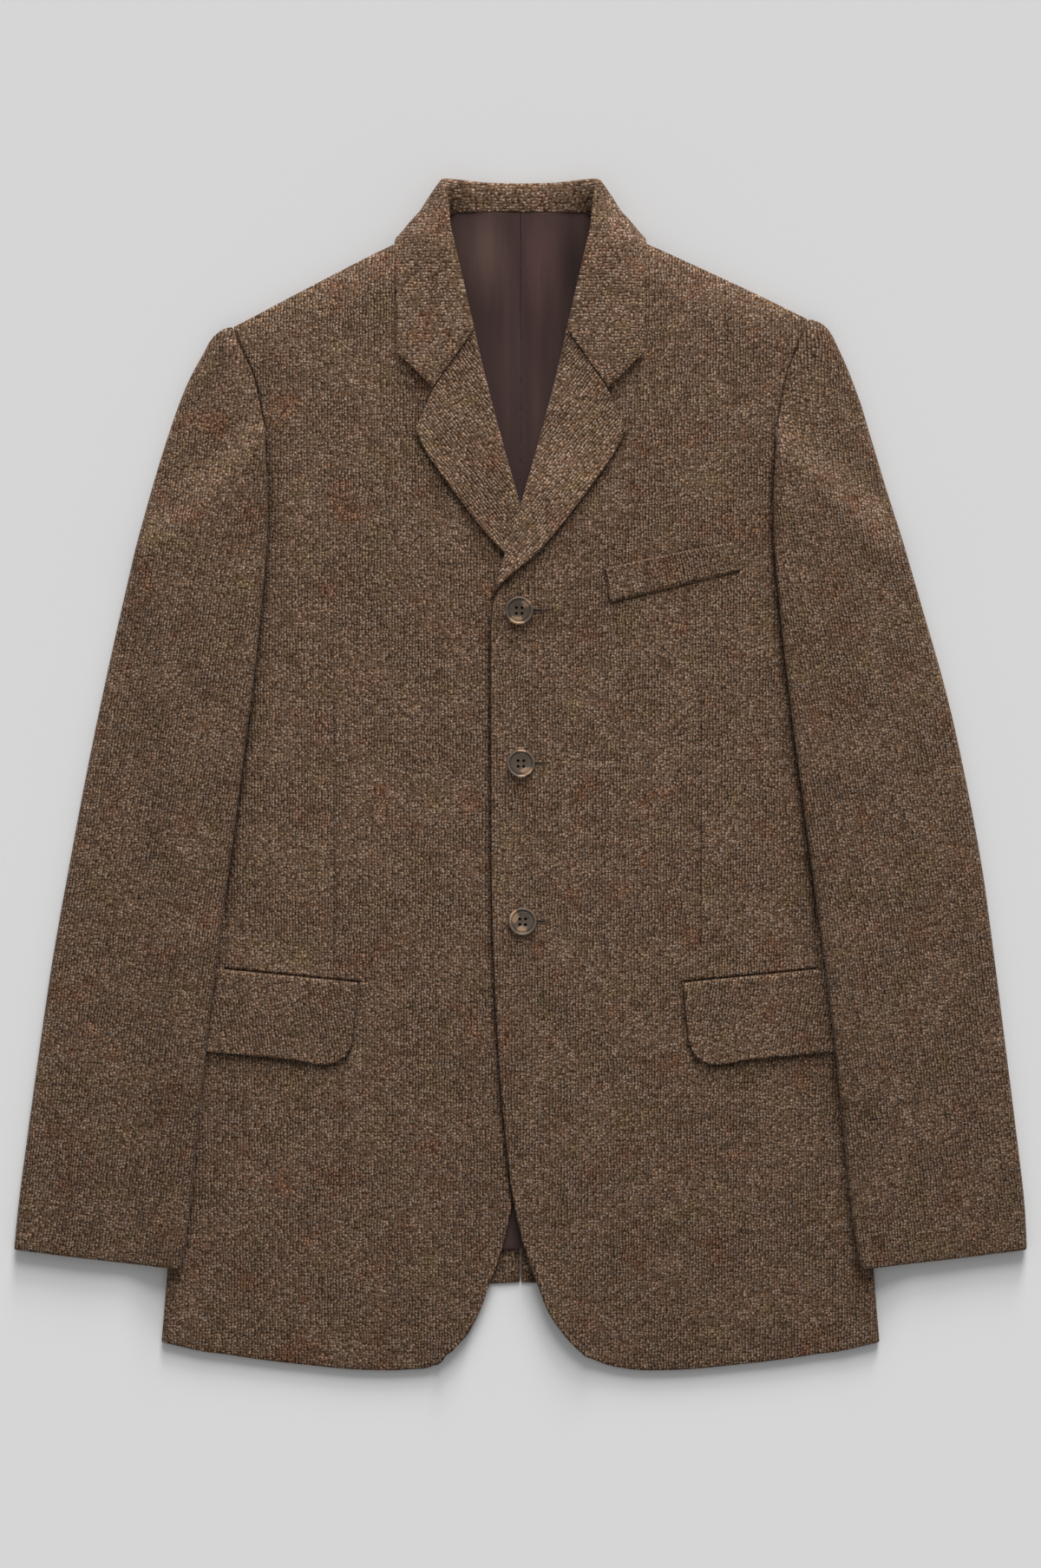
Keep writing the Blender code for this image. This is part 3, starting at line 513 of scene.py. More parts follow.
def front_relief(out, up, side):
    """Dart, pocket seams and the soft waves of the pressed cloth."""
    beside, inside = dart_seam(out, up, side)
    relief = inside * groove(beside, *GROOVE["dart"]) + inside * 0.3 * bell(beside, 8.0)
    above, mouth = flap_seam(out, up)
    relief = relief + mouth * groove(above - 0.7, *GROOVE["mouth"])
    relief = relief + mouth * 0.5 * bell(above - 3.0, 4.0)
    if side > 0:
        above, sewn = welt_seam(out, up)
        relief = relief + sewn * groove(above + 0.8, *GROOVE["welt"])
    else:
        over = 0.7 - opening_edge(up)
        pressed = ease((132.0 - up) / 8.0) * ease((up + 335.0) / 70.0)
        relief = relief + pressed * groove(out - over, *GROOVE["opening"])
    waves = np.sin(out / 23.0 + 1.3 * side) * np.sin(up / 61.0 + 0.7) * 0.22
    waves = waves + np.sin((out + 0.45 * up) / 17.0 + side) * 0.1
    return relief + waves * ease((out + 12.0) / 40.0) * ease((below_shoulder(out, up)) / 40.0)


def front_face(out, up, side):
    """Outer face of a front with its seams and waves."""
    return front_base(out, up, side) + front_relief(out, up, side)


# --- Cloth shells


def placed(points, side):
    """From out, up and height to the jacket's own X, Y and Z, in metres."""
    out, up, height = np.moveaxis(points, -1, 0)
    weight = ease((out - 70.0) / 135.0) * ease((up - 262.0) / 40.0)
    up = up + side * SHOULDER_TILT * weight - MIDDLE_UP
    return np.stack([side * out, up, height], axis=-1) * MM


def laid(plan, height):
    """A plan's points with their heights."""
    return np.concatenate([plan, np.asarray(height)[..., None]], axis=-1)


def unit(vectors):
    """Vectors of length one."""
    return vectors / np.maximum(np.linalg.norm(vectors, axis=-1, keepdims=True), 1e-9)


def grid_normals(points, facing):
    """Unit normals of a grid. Facing is (row, column, sign of Z there)."""
    along = np.gradient(points, axis=0)
    across = np.gradient(points, axis=1)
    normals = unit(np.cross(across, along))
    row, col, sign = facing
    return normals if normals[row, col, 2] * sign > 0 else -normals


def drawn_in(points, amount):
    """Moves the first row in by an amount and eases the rows after it."""
    if not amount:
        return points
    points = points.copy()
    if amount < 0:
        points[0] += unit(points[0] - points[1]) * -amount
        return points
    for line in np.swapaxes(points, 0, 1):
        run = lengths(line)
        reach = min(6.0 * amount, 0.4 * run[-1])
        start = min(amount, reach / 3.0)
        near = run < reach
        moved = start + run[near] * (reach - start) / reach
        line[near] = read_along(line, run, moved)
    return points


def inset(points, amounts):
    """Moves the four edges in: (first row, last row, first column, last column)."""
    points = drawn_in(points, amounts[0])
    points = drawn_in(points[::-1], amounts[1])[::-1]
    points = drawn_in(np.swapaxes(points, 0, 1), amounts[2])
    points = drawn_in(points[::-1], amounts[3])[::-1]
    return np.swapaxes(points, 0, 1)


def edge_loop(rows, cols):
    """Row and column of each point round a grid's edge."""
    loop = [(0, c) for c in range(cols)] + [(r, cols - 1) for r in range(1, rows)]
    loop += [(rows - 1, c) for c in range(cols - 2, -1, -1)]
    loop += [(r, 0) for r in range(rows - 2, 0, -1)]
    return np.array(loop)


def shell(name, points, cloth, side, facing, uv=None, rounded=(1, 1, 1, 1), steady=0, crease=None):
    """A closed cloth piece: a grid for its outer face, an inner face and a rounded rim.

    Steady rows at the start take their direction from the row after them. The painted shade at each
    point of the grid, from 0 to 1, darkens the wool where shade falls.
    """
    half = cloth / 2
    points = inset(points, [half * flag for flag in rounded])
    rows, cols = points.shape[:2]
    uv = points[..., :2] if uv is None else uv
    if side < 0:
        uv = uv + CLOTH_AWAY
    normals = grid_normals(points, facing)
    normals[:steady] = normals[steady]
    inner = points - normals * cloth

    # The rim: half a turn round the edge, in steps
    r, c = edge_loop(rows, cols).T
    inward_r = np.where(r == 0, 1, np.where(r == rows - 1, -1, 0))
    inward_c = np.where(c == 0, 1, np.where(c == cols - 1, -1, 0))
    outward = points[r, c] - points[r + inward_r, c + inward_c]
    normal = normals[r, c]
    outward = unit(outward - normal * np.sum(outward * normal, axis=1, keepdims=True))
    uv_out = unit(uv[r, c] - uv[r + inward_r, c + inward_c])
    rings, ring_uvs = [], []
    for turn in math.pi * np.arange(1, RIM_STEPS) / RIM_STEPS:
        ring = points[r, c] - normal * half
        rings.append(ring + half * (normal * math.cos(turn) + outward * math.sin(turn)))
        ring_uvs.append(uv[r, c] + uv_out * half * turn)
    verts = np.concatenate([points.reshape(-1, 3), *rings, inner.reshape(-1, 3)])
    uvs = np.concatenate([uv.reshape(-1, 2), *ring_uvs, uv.reshape(-1, 2)])

    index = np.arange(rows * cols).reshape(rows, cols)
    corners = [index[:-1, :-1], index[1:, :-1], index[1:, 1:], index[:-1, 1:]]
    quads = np.stack(corners, axis=-1).reshape(-1, 4)
    size, below = rows * cols, rows * cols + (RIM_STEPS - 1) * len(r)
    levels = [r * cols + c]
    levels += [size + ring * len(r) + np.arange(len(r)) for ring in range(RIM_STEPS - 1)]
    levels.append(below + r * cols + c)
    faces = [quads, quads[:, ::-1] + below]
    for upper, lower in zip(levels[:-1], levels[1:]):
        faces.append(np.stack([upper, np.roll(upper, -1), np.roll(lower, -1), lower], axis=-1))

    mesh = bpy.data.meshes.new(name)
    mesh.from_pydata(placed(verts, side).tolist(), [], np.concatenate(faces).tolist())
    # Painted shade, kept on every point for the wool to darken by
    if crease is not None:
        dark = np.clip(crease, 0.0, PAINTED_SHADE_LIMIT)
        dark = np.concatenate([dark.ravel(), np.tile(dark[r, c], RIM_STEPS - 1), dark.ravel()])
        mesh.attributes.new("crease", "FLOAT", "POINT").data.foreach_set("value", dark)
    layer = mesh.uv_layers.new(name="cloth")
    corner = np.empty(len(mesh.loops), np.int32)
    mesh.loops.foreach_get("vertex_index", corner)
    layer.data.foreach_set("uv", (uvs[corner] * UV_UNIT).astype(np.float32).ravel())
    work = bmesh.new()
    work.from_mesh(mesh)
    bmesh.ops.recalc_face_normals(work, faces=work.faces[:])
    return finished(name, work, mesh)


def finished(name, work, mesh=None, smooth=True):
    """An object from a bmesh."""
    mesh = mesh or bpy.data.meshes.new(name)
    work.to_mesh(mesh)
    work.free()
    if smooth:
        mesh.shade_smooth()
    return linked(name, mesh)


def linked(name, mesh):
    """An object for a mesh, in the jacket's own collection."""
    piece = bpy.data.objects.new(name, mesh)
    bpy.data.collections[COLLECTION].objects.link(piece)
    return piece


def settle(piece, nodes=(), finish=None):
    """A piece's body and the solids that it replaces."""
    if finish:
        piece.data.materials.append(finish)
    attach(piece, "root")
    if nodes:
        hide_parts(*nodes)


def side_name(stem, side):
    """A node's name on one side of the jacket."""
    return stem + ("_left" if side > 0 else "_right")


def sew(node, side, points, cloth, finish, facing, on=(), slot="tweed", held="laid", **shape):
    """A piece of cloth in place of a solid. On is not used."""
    piece = shell(f"{node}_{'satin' if slot == 'lining' else 'cloth'}", points, cloth, side,
                  facing, **shape)
    settle(piece, [node], finish)


# --- Materials


class Finish:
    """A procedural material, with short ways to add the nodes that wool, satin and horn need."""

    def __init__(self, name, **surface):
        self.material = bpy.data.materials.new(name)
        self.material.use_nodes = True
        tree = self.material.node_tree
        self.nodes, self.links = tree.nodes, tree.links
        self.surface = self.nodes["Principled BSDF"]
        for stem, value in surface.items():
            self.surface.inputs[stem.replace("_", " ")].default_value = value

    def feed(self, socket, value):
        """A constant on a socket, or a link into it."""
        if isinstance(value, (int, float, tuple)):
            socket.default_value = value
        else:
            self.links.new(value, socket)

    def node(self, kind, inputs=None, **settings):
        """A shader node with its settings, and values or links for named or numbered inputs."""
        made = self.nodes.new("ShaderNode" + kind)
        for setting, value in settings.items():
            setattr(made, setting, value)
        for key, value in (inputs or {}).items():
            self.feed(made.inputs[key], value)
        return made

    def cloth(self):
        """Cloth coordinates: one unit is 100 mm of flat cloth."""
        return self.node("UVMap", uv_map="cloth").outputs[0]

    def place(self):
        """The jacket's own coordinates, in metres."""
        return self.node("TexCoord").outputs["Object"]

    def stretched(self, vector, x, y, turn=0.0):
        """Coordinates turned and scaled."""
        settings = {"Rotation": (0.0, 0.0, turn), "Scale": (x, y, 1.0), "Vector": vector}
        return self.node("Mapping", settings).outputs[0]

    def maths(self, operation, *inputs, kind="Math"):
        return self.node(kind, dict(enumerate(inputs)), operation=operation).outputs[0]

    def noise(self, vector, scale, detail=2.0, roughness=0.5, output=0):
        settings = {"Scale": scale, "Detail": detail, "Roughness": roughness, "Vector": vector}
        return self.node("TexNoise", settings).outputs[output]

    def swayed(self, vector, scale, reach):
        """Coordinates moved about by soft noise, by half the reach each way."""
        sway = self.noise(vector, scale, output="Color")
        shift = self.maths("MULTIPLY_ADD", sway, (reach, reach, 0.0),
                           (-reach / 2, -reach / 2, 0.0), kind="VectorMath")
        return self.maths("ADD", vector, shift, kind="VectorMath")

    def ramp(self, source, *stops, soft=False):
        """A colour ramp. Each stop is a place with a colour, or with a number for a grey."""
        made = self.node("ValToRGB", {0: source})
        elements = made.color_ramp.elements
        while len(elements) < len(stops):
            elements.new(0.5)
        for element, (position, colour) in zip(elements, stops):
            element.position = position
            grey = isinstance(colour, (int, float))
            element.color = (*((colour,) * 3 if grey else colour), 1.0)
        if soft:
            made.color_ramp.interpolation = "EASE"
        return made.outputs[0]

    def mix(self, factor, first, second, blend="MIX"):
        values = {0: factor, 6: first, 7: second}
        return self.node("Mix", values, data_type="RGBA", blend_type=blend).outputs[2]

    def times(self, first, second):
        """One colour multiplied by another."""
        return self.mix(1.0, first, second, "MULTIPLY")

    def spot(self, vector, centre, size, unit_size):
        """A soft patch: 1 at its centre and 0 at its edge, with places in millimetres."""
        at = self.node("Mapping", {
            "Location": (centre[0] * unit_size, centre[1] * unit_size, 0.0),
            "Scale": (size[0] * unit_size, size[1] * unit_size, 1.0), "Vector": vector,
        }, vector_type="TEXTURE")
        spot = self.node("TexGradient", {0: at.outputs[0]}, gradient_type="SPHERICAL")
        return self.ramp(spot.outputs[1], (0.0, 0.0), (1.0, 1.0), soft=True)

    def done(self, colour, relief=None, strength=0.0, depth=0.0):
        """Colour and relief on the surface, and the material."""
        self.feed(self.surface.inputs["Base Color"], colour)
        if relief:
            settings = {"Strength": strength, "Distance": depth, "Height": relief}
            self.feed(self.surface.inputs["Normal"], self.node("Bump", settings).outputs[0])
        return self.material


def once(recipe):
    """Makes a recipe's material the first time that its name is asked for."""

    def find(name, **choices):
        return bpy.data.materials.get(name) or recipe(name, **choices)

    return find


def scaled(colour, amount):
    """A colour made darker or lighter."""
    return tuple(amount * part for part in colour)


def blended(first, second, share):
    """A share of one colour with the rest of another."""
    return tuple(share * a + (1 - share) * b for a, b in zip(first, second))


@once
def tweed(name, grain=0.0, rib=0.25, pitch=1.0, tone=1.0):
    """Wool tweed: nubs of cream, brown and near-black yarn. Grain turns the ribs. Tone makes one
    piece's copy of the wool lighter or darker as a whole: painted light and shade.
    """
    colours = bpy.context.scene.jacket_colours
    wool = Finish(name, Roughness=0.92, Specular_IOR_Level=0.12, Sheen_Weight=0.06,
                  Sheen_Roughness=0.5)

    # One unit for each nub, with rows that wander a little
    cloth = wool.cloth()
    across = 100.0 * MM / (bpy.context.scene.jacket_sizes.weave_pitch * pitch)
    rows = wool.stretched(cloth, across, across * 1.06, grain)
    wandering = wool.swayed(rows, 0.22, 1.5)

    # One nub in each cell, pale on top and dark where the yarn dips: dark yarn there, with painted
    # shade in the dips
    nubs = wool.node("TexVoronoi", {"Scale": 1.0, "Randomness": NUB_SCATTER, "Vector": wandering},
                     voronoi_dimensions="2D")
    chance = wool.node("SeparateColor", {0: nubs.outputs["Color"]}).outputs
    dark, body, light = (tuple(c) for c in (colours.nub_dark, colours.body, colours.nub_light))
    yarn = wool.ramp(chance[0], (0.0, blended(dark, body, 0.3)), (0.3, body),
                     (0.6, blended(body, light, 0.6)), (0.88, light), (1.0, scaled(light, 1.35)))
    yarn = wool.times(yarn, wool.ramp(chance[1], (0.2, (1.10, 0.99, 0.86)),
                                      (0.8, (0.94, 1.01, 1.06))))
    flecks = wool.ramp(chance[2], (0.982, 0.0), (0.986, 0.7))
    yarn = wool.mix(flecks, yarn, (*colours.fleck, 1.0))
    top = wool.ramp(nubs.outputs["Distance"], (0.02, 1.0), (0.54, 0.0), soft=True)
    gap = wool.ramp(wool.noise(rows, 0.95, 1.0), (0.44, dark), (0.56, blended(dark, body, 0.35)))
    fibres = wool.noise(rows, 2.4, 2.0, 0.6)
    colour = wool.times(wool.mix(top, gap, yarn), wool.ramp(fibres, (0.3, 0.78), (0.7, 1.22)))

    # Ribs: rows of nubs with a dip between them, clearer in some places, the dips darkened as
    # painted shade
    ribs = wool.node("TexWave", {
        "Scale": 2 * math.pi / 20.0, "Distortion": 0.0,
        "Phase Offset": 2 * math.pi * (0.5 - NUB_SCATTER / 2), "Vector": wandering,
    }, wave_type="BANDS", bands_direction="X")
    dip = wool.ramp(ribs.outputs[0], (0.0, max(0.0, 1.0 - 2.6 * rib)), (0.55, 1.0))
    clear = wool.ramp(wool.noise(rows, 0.05, 1.0), (0.35, 0.35), (0.6, 1.0))
    colour = wool.mix(clear, colour, wool.times(colour, dip))

    # Warm and green patches, clumps and blotches; then painted light, paler towards the shoulders,
    # and each piece made lighter or darker as a whole by its tone
    colour = wool.times(colour, wool.ramp(
        wool.noise(cloth, 3.2, 3.0, 0.6), (0.32, tuple(colours.olive)), (0.46, 1.0), (0.56, 1.0),
        (0.68, tuple(colours.rust)),
    ))
    clumps, blotches = wool.noise(rows, 0.36, 1.0), wool.noise(cloth, 8.5, 2.0, 0.6)
    colour = wool.times(colour, wool.ramp(clumps, (0.3, 0.78), (0.7, 1.22)))
    colour = wool.times(colour, wool.ramp(blotches, (0.3, 0.87), (0.7, 1.13)))
    length = wool.node("SeparateXYZ", {0: wool.place()}).outputs[1]
    by_height = wool.ramp(wool.maths("ADD", length, 0.5), (0.1, 0.84 * tone), (0.78, 1.20 * tone))
    colour = wool.times(colour, by_height)
    # Painted shade: the wool is darker where the mesh's shade values say shade falls, along seams
    # and beside edges
    crease = wool.node("Attribute", attribute_name="crease").outputs["Fac"]
    colour = wool.mix(crease, colour, wool.times(colour, (0.16, 0.13, 0.11, 1.0)))
    return wool.done(colour, wool.maths("MULTIPLY_ADD", fibres, 0.4, top), 0.35, 0.0007)


@once
def satin(name):
    """Dark aubergine lining, with painted sheen in soft lengthwise stripes and a few soft patches
    of painted sheen and shade.
    """
    silk = Finish(name, Roughness=0.62, Specular_IOR_Level=0.16, Sheen_Weight=0.12,
                  Sheen_Roughness=0.35)
    cloth = silk.cloth()
    # Painted sheen: soft lengthwise stripes of lighter and darker colour
    sheen_streaks = silk.noise(silk.stretched(cloth, 14.0, 1.2), 1.0, 3.0, 0.55)
    base = tuple(bpy.context.scene.jacket_colours.lining)
    tone = silk.ramp(sheen_streaks, (0.3, scaled(base, 0.86)), (0.7, scaled(base, 1.16)))
    # Painted sheen and shade: a few soft lighter and darker patches
    for side, centre, size, shade in SATIN_PATCHES:
        centre = np.array(centre) + (CLOTH_AWAY if side < 0 else 0.0)
        sheen = silk.spot(cloth, centre, size, UV_UNIT)
        tone = silk.mix(sheen, tone, silk.times(tone, (*shade, 1.0)))
    threads = silk.noise(silk.stretched(cloth, 260.0, 120.0), 1.0, 1.0)
    return silk.done(tone, threads, 0.12, 0.0002)


@once
def horn(name, button=""):
    """Grey-brown horn with a button's own warm patches and a lighter rim."""
    colours = bpy.context.scene.jacket_colours
    shine = Finish(name, Roughness=0.46, Specular_IOR_Level=0.35)
    place = shine.place()
    cloudy = shine.swayed(place, 260.0, 0.005)
    grain = shine.noise(cloudy, 420.0, 3.0, 0.6)
    colour = shine.ramp(grain, (0.3, scaled(colours.horn, 0.80)), (0.7, scaled(colours.horn, 1.18)))
    out, up = BUTTON_PLACES[button]
    for (x, y), size in HORN_PATCHES[button]:
        warm = shine.spot(cloudy, (out + x, up - MIDDLE_UP + y), size, MM)
        warm = shine.ramp(warm, (0.12, 0.0), (0.5, 0.85))
        colour = shine.mix(warm, colour, (*colours.horn_warm, 1.0))
    middle = shine.spot(place, (out, up - MIDDLE_UP), (12.0, 12.0), MM)
    colour = shine.times(colour, shine.ramp(middle, (0.22, 1.45), (0.29, 1.0)))
    return shine.done(colour, grain, 0.08, 0.0002)


@once
def thread(name, tone=1.0):
    """Twisted thread. A low tone makes it near black, which also serves as painted shade."""
    yarn = Finish(name, Roughness=0.7, Specular_IOR_Level=0.25)
    base = scaled(bpy.context.scene.jacket_colours.thread, tone)
    twist = yarn.noise(yarn.place(), 1800.0)
    return yarn.done(yarn.ramp(twist, (0.35, scaled(base, 0.6)), (0.65, scaled(base, 1.3))))


# --- Pieces


def front_edge(side):
    """The front's centre edge, from the neck down to the hem."""
    roll = [
        (value + ROLL_IN * float(ease((up - 108.0) / 34.0)), up)
        for up, value in zip(ROLL["up"][:-1], ROLL["roll"][:-1])
    ]
    lower = [
        (value + (CUTAWAY_SHIFT * float(ease((60.0 - up) / 330.0)) if side < 0 else 0.0), up)
        for up, value in zip(EDGE["up"], EDGE["edge"])
    ]
    return [*FRONT_NECK, *roll, *lower]


def opening_edge(up):
    """Where the left front's edge lies on the right front."""
    points = np.array(front_edge(1))[::-1]
    return np.interp(up, points[:, 1], points[:, 0])


def beyond(plan, edge):
    """Distance of a grid's points from the point of an edge in the same row or column."""
    return np.linalg.norm(plan - edge, axis=-1)


def armhole(ups, reach):
    """Points beside the sleeve's seam, from the shoulder down."""
    return [(column(SLEEVE, "inner", up) + reach(up), up) for up in ups]


def side_seam(inward, start, end, count):
    """Points inside the body's side, from one height down to another."""
    return [(side_line(up) - inward, up) for up in np.linspace(start, end, count)]


def build_front(side):
    """A front with its edge and hem, its armhole and its seam to the side panel."""
    edge = front_edge(side)
    outer = [
        SHOULDER[-1], *armhole((296.7, 278.7, 260.7, 240.0, 224.0), lambda up: -SEAM),
        (179.0, 207.0), (190.0, 190.0), (204.0, 173.0), (214.5, 158.0),
        *side_seam(SIDE_TOP_LAP + SEAM / 2, 135.0, -398.0, 18),
    ]
    hem = [edge[-1], *HEM[1:-1], outer[-1]]
    across = 1.0 - stops(62, 0.022, 9)[::-1]
    plan = patch(stops(150, 0.034, 12), across, SHOULDER, hem, edge, outer)
    plan = gathered(plan, 1, lambda out, up: DARTS[side] - out)
    plan = gathered(plan, 0, lambda out, up: from_line(out, up, FLAP_TOP)[0] - 0.7)
    if side > 0:
        plan = gathered(plan, 0, lambda out, up: from_line(out, up, WELT_HEM)[0] + 0.8)
    else:
        plan = gathered(plan, 1, lambda out, up: 0.7 - opening_edge(up) - out)
    out, up = plan[..., 0], plan[..., 1]
    curl = (1.3 if side > 0 else 0.7) * np.exp(-beyond(plan, plan[:, :1]) / 4.5)
    to_armhole = beyond(plan, plan[:, -1:])
    sewn = between(up, *ARMHOLE_SEWN)
    top = front_face(out, up, side) + curl * ease((124.0 - up) / 20.0)
    top = top - sewn * (1.3 * bell(to_armhole, 1.2) + 0.9 * np.exp(-to_armhole / 7.0))
    sew(side_name("front", side), side, laid(plan, top), FRONT_CLOTH, tweed("wool_plain"),
        (60, 40, 1), [side_name("lining", side), side_name("back", side)],
        rounded=(1, 1, 1, 0), crease=front_creases(out, up, side, to_armhole, sewn))


def build_side(side):
    """The side panel: from the back's seam, round the body's side, up to the front's seam."""
    rows, uvs = [], []
    turn = np.radians(np.linspace(-90, 90, 15))
    for up in np.linspace(UNDERARM_UP, SIDE_END, 110):
        fold = float(side_line(up))
        half = float(front_top(fold, up)) / 2
        flat = np.linspace(fold - half - 2.0, fold - SIDE_TOP_LAP + SEAM / 2, 6)
        under = np.linspace(fold - SIDE_BACK_LAP, fold - half - 3.0, 7)
        outs = np.concatenate([under, fold - half + half * np.cos(turn), flat])
        heights = np.concatenate([0.0 * under, half + half * np.sin(turn), front_top(flat, up)])
        share = (UNDERARM_UP - up) / (UNDERARM_UP - SIDE_END)
        rise = (np.interp(outs, *SIDE_HEM) - SIDE_END) * share**8
        row = np.stack([outs, up + rise, heights], axis=1)
        run = lengths(row)
        rows.append(row)
        uvs.append(np.stack([row[-1, 0] + run[-1] - run, row[:, 1]], axis=1))
    sew(side_name("side", side), side, np.array(rows), BACK_CLOTH, tweed("wool_plain"),
        (50, -3, 1), [side_name("back", side)], uv=np.array(uvs), rounded=(1, 1, 1, 0))


def build_back(side):
    """Half of the back, from the centre seam out to the side panel."""
    lap = armhole((290.0, 262.0, 236.0, 212.0), lambda up: column(LAP, "inner", up) - 1.2)
    seam = side_seam(SIDE_BACK_LAP + SIDE_SEAM, UNDERARM_UP, BACK_HEM[-1][1], 16)
    outer = [SHOULDER[-1], *lap, (192.5, 180.0), *seam]
    hem = [*BACK_HEM[:-1], outer[-1]]
    centre = (NECK[0], (CENTRE, 100.0), BACK_HEM[0])
    top = [*NECK, *SHOULDER[1:]]
    plan = patch(stops(110, 0.11, 14), stops(50), top, hem, centre, outer)
    points = laid(plan, back_under(plan[..., 0], plan[..., 1]))
    sew(side_name("back", side), side, points, BACK_CLOTH, tweed("wool_plain"), (60, 20, -1))


def lining_relief(out, up):
    """Soft lengthwise folds beside the centre seam."""
    near = bell(out, 60.0)
    folds = 0.30 * np.sin(out / 5.5 + 0.012 * up) + 0.22 * np.sin(out / 9.0 - 0.02 * up + 1.0)
    return 0.3 + near * folds * ease(out / 4.0) * 0.6


def build_lining(side):
    """Half of the back's lining, which shows in the neck."""
    top = ((CENTRE, 390.9), (23.0, 390.8), (40.0, 390.4), (50.4, 389.4))
    outer = ((50.4, 389.4), (53.5, 378.0), (58.5, 366.0), (62.0, 348.0), (112.0, 304.0),
             (148.0, 258.0), (LINING_OUT, 190.0), (LINING_OUT, 0.0), (LINING_OUT, LINING_END))
    hem = ((CENTRE, LINING_END), (90.0, LINING_END), (LINING_OUT, LINING_END))
    centre = ((CENTRE, 390.9), (CENTRE, 0.0), (CENTRE, LINING_END))
    plan = patch(stops(160, 0.012, 16), stops(64) ** 1.5, top, hem, centre, outer)
    out, up = plan[..., 0], plan[..., 1]
    top_face = back_under(out, up) + BACK_CLOTH + LINING_LAY + LINING_CLOTH
    top_face = top_face + LINING_RISE * ease((up - 280.0) / 50.0) + lining_relief(out, up)
    top_face = top_face - 1.0 * bell(beyond(plan, plan[:1]), 0.8)
    sew(side_name("lining", side), side, laid(plan, top_face), LINING_CLOTH,
        satin("lining_satin"), (60, 20, 1), [side_name("back", side)], slot="lining")


def sleeve_plan(down, side):
    """Inner and outer fold of the sleeve at each stop from its head to its cuff."""
    outer_fold = SLEEVE["left" if side > 0 else "right"]
    rows = list(zip(SLEEVE["inner"], outer_fold, SLEEVE["up"]))[1:-1]
    inner = [SLEEVE_HEAD[0], *[(fold, up) for fold, _, up in rows], CUFF[0]]
    outer = [(fold, up) for _, fold, up in rows[1:]]
    return path(inner, down), path([SLEEVE_HEAD[-1], *outer, CUFF[-1]], down)


def sleeve_grid(down, inner, outer, share):
    """Plan points at shares of the sleeve's width, bent to follow its head and its cuff."""
    v = np.asarray(down)[:, None, None]
    s = share[..., None]
    straight = inner[:, None] * (1 - s) + outer[:, None] * s

    def bent(edge, shares):
        fine = np.linspace(0, 1, 81)
        line = read_along(path(edge, fine), fine, shares)
        ends = np.array(edge[0]) * (1 - shares[..., None]) + np.array(edge[-1]) * shares[..., None]
        return line - ends

    return straight + (1 - v) ** 6 * bent(SLEEVE_HEAD, share) + v**6 * bent(CUFF, share)


def sleeve_folds(out, up, share, side):
    """Soft lengthwise waves and the slant creases at the elbow."""
    middle = np.sin(np.pi * np.clip(share, 0.0, 1.0)) ** 1.5
    long_wave = 0.5 * np.sin(6.5 * share + 0.006 * up + side)
    elbow = 0.4 * bell(up - 20.0, 80.0) * np.sin((up + 90.0 * share) / 15.0)
    head = 0.16 * bell(up - 250.0, 40.0) * np.sin((out - 0.5 * up) / 9.0)
    return middle * (long_wave + elbow + head)


def sleeve_heights(plan, share, layer, head, side):
    """A sleeve's points. Layer is 1 on its upper face and -1 on its underside."""
    out, up = plan[..., 0], plan[..., 1]
    under, top = sleeve_under(out, up), sleeve_top(out, up, share)
    rise = quarter_round(beyond(plan, head) / HEAD_ROUND)
    top = SEAM_LEVEL + SEAM / 2 + (top - SEAM_LEVEL - SEAM / 2) * rise
    under = SEAM_LEVEL - SEAM / 2 + (under - SEAM_LEVEL + SEAM / 2) * rise
    top = top + sleeve_folds(out, up, share, side) * rise
    height = (top + under) / 2 + layer * (top - under) / 2
    return laid(plan, height)


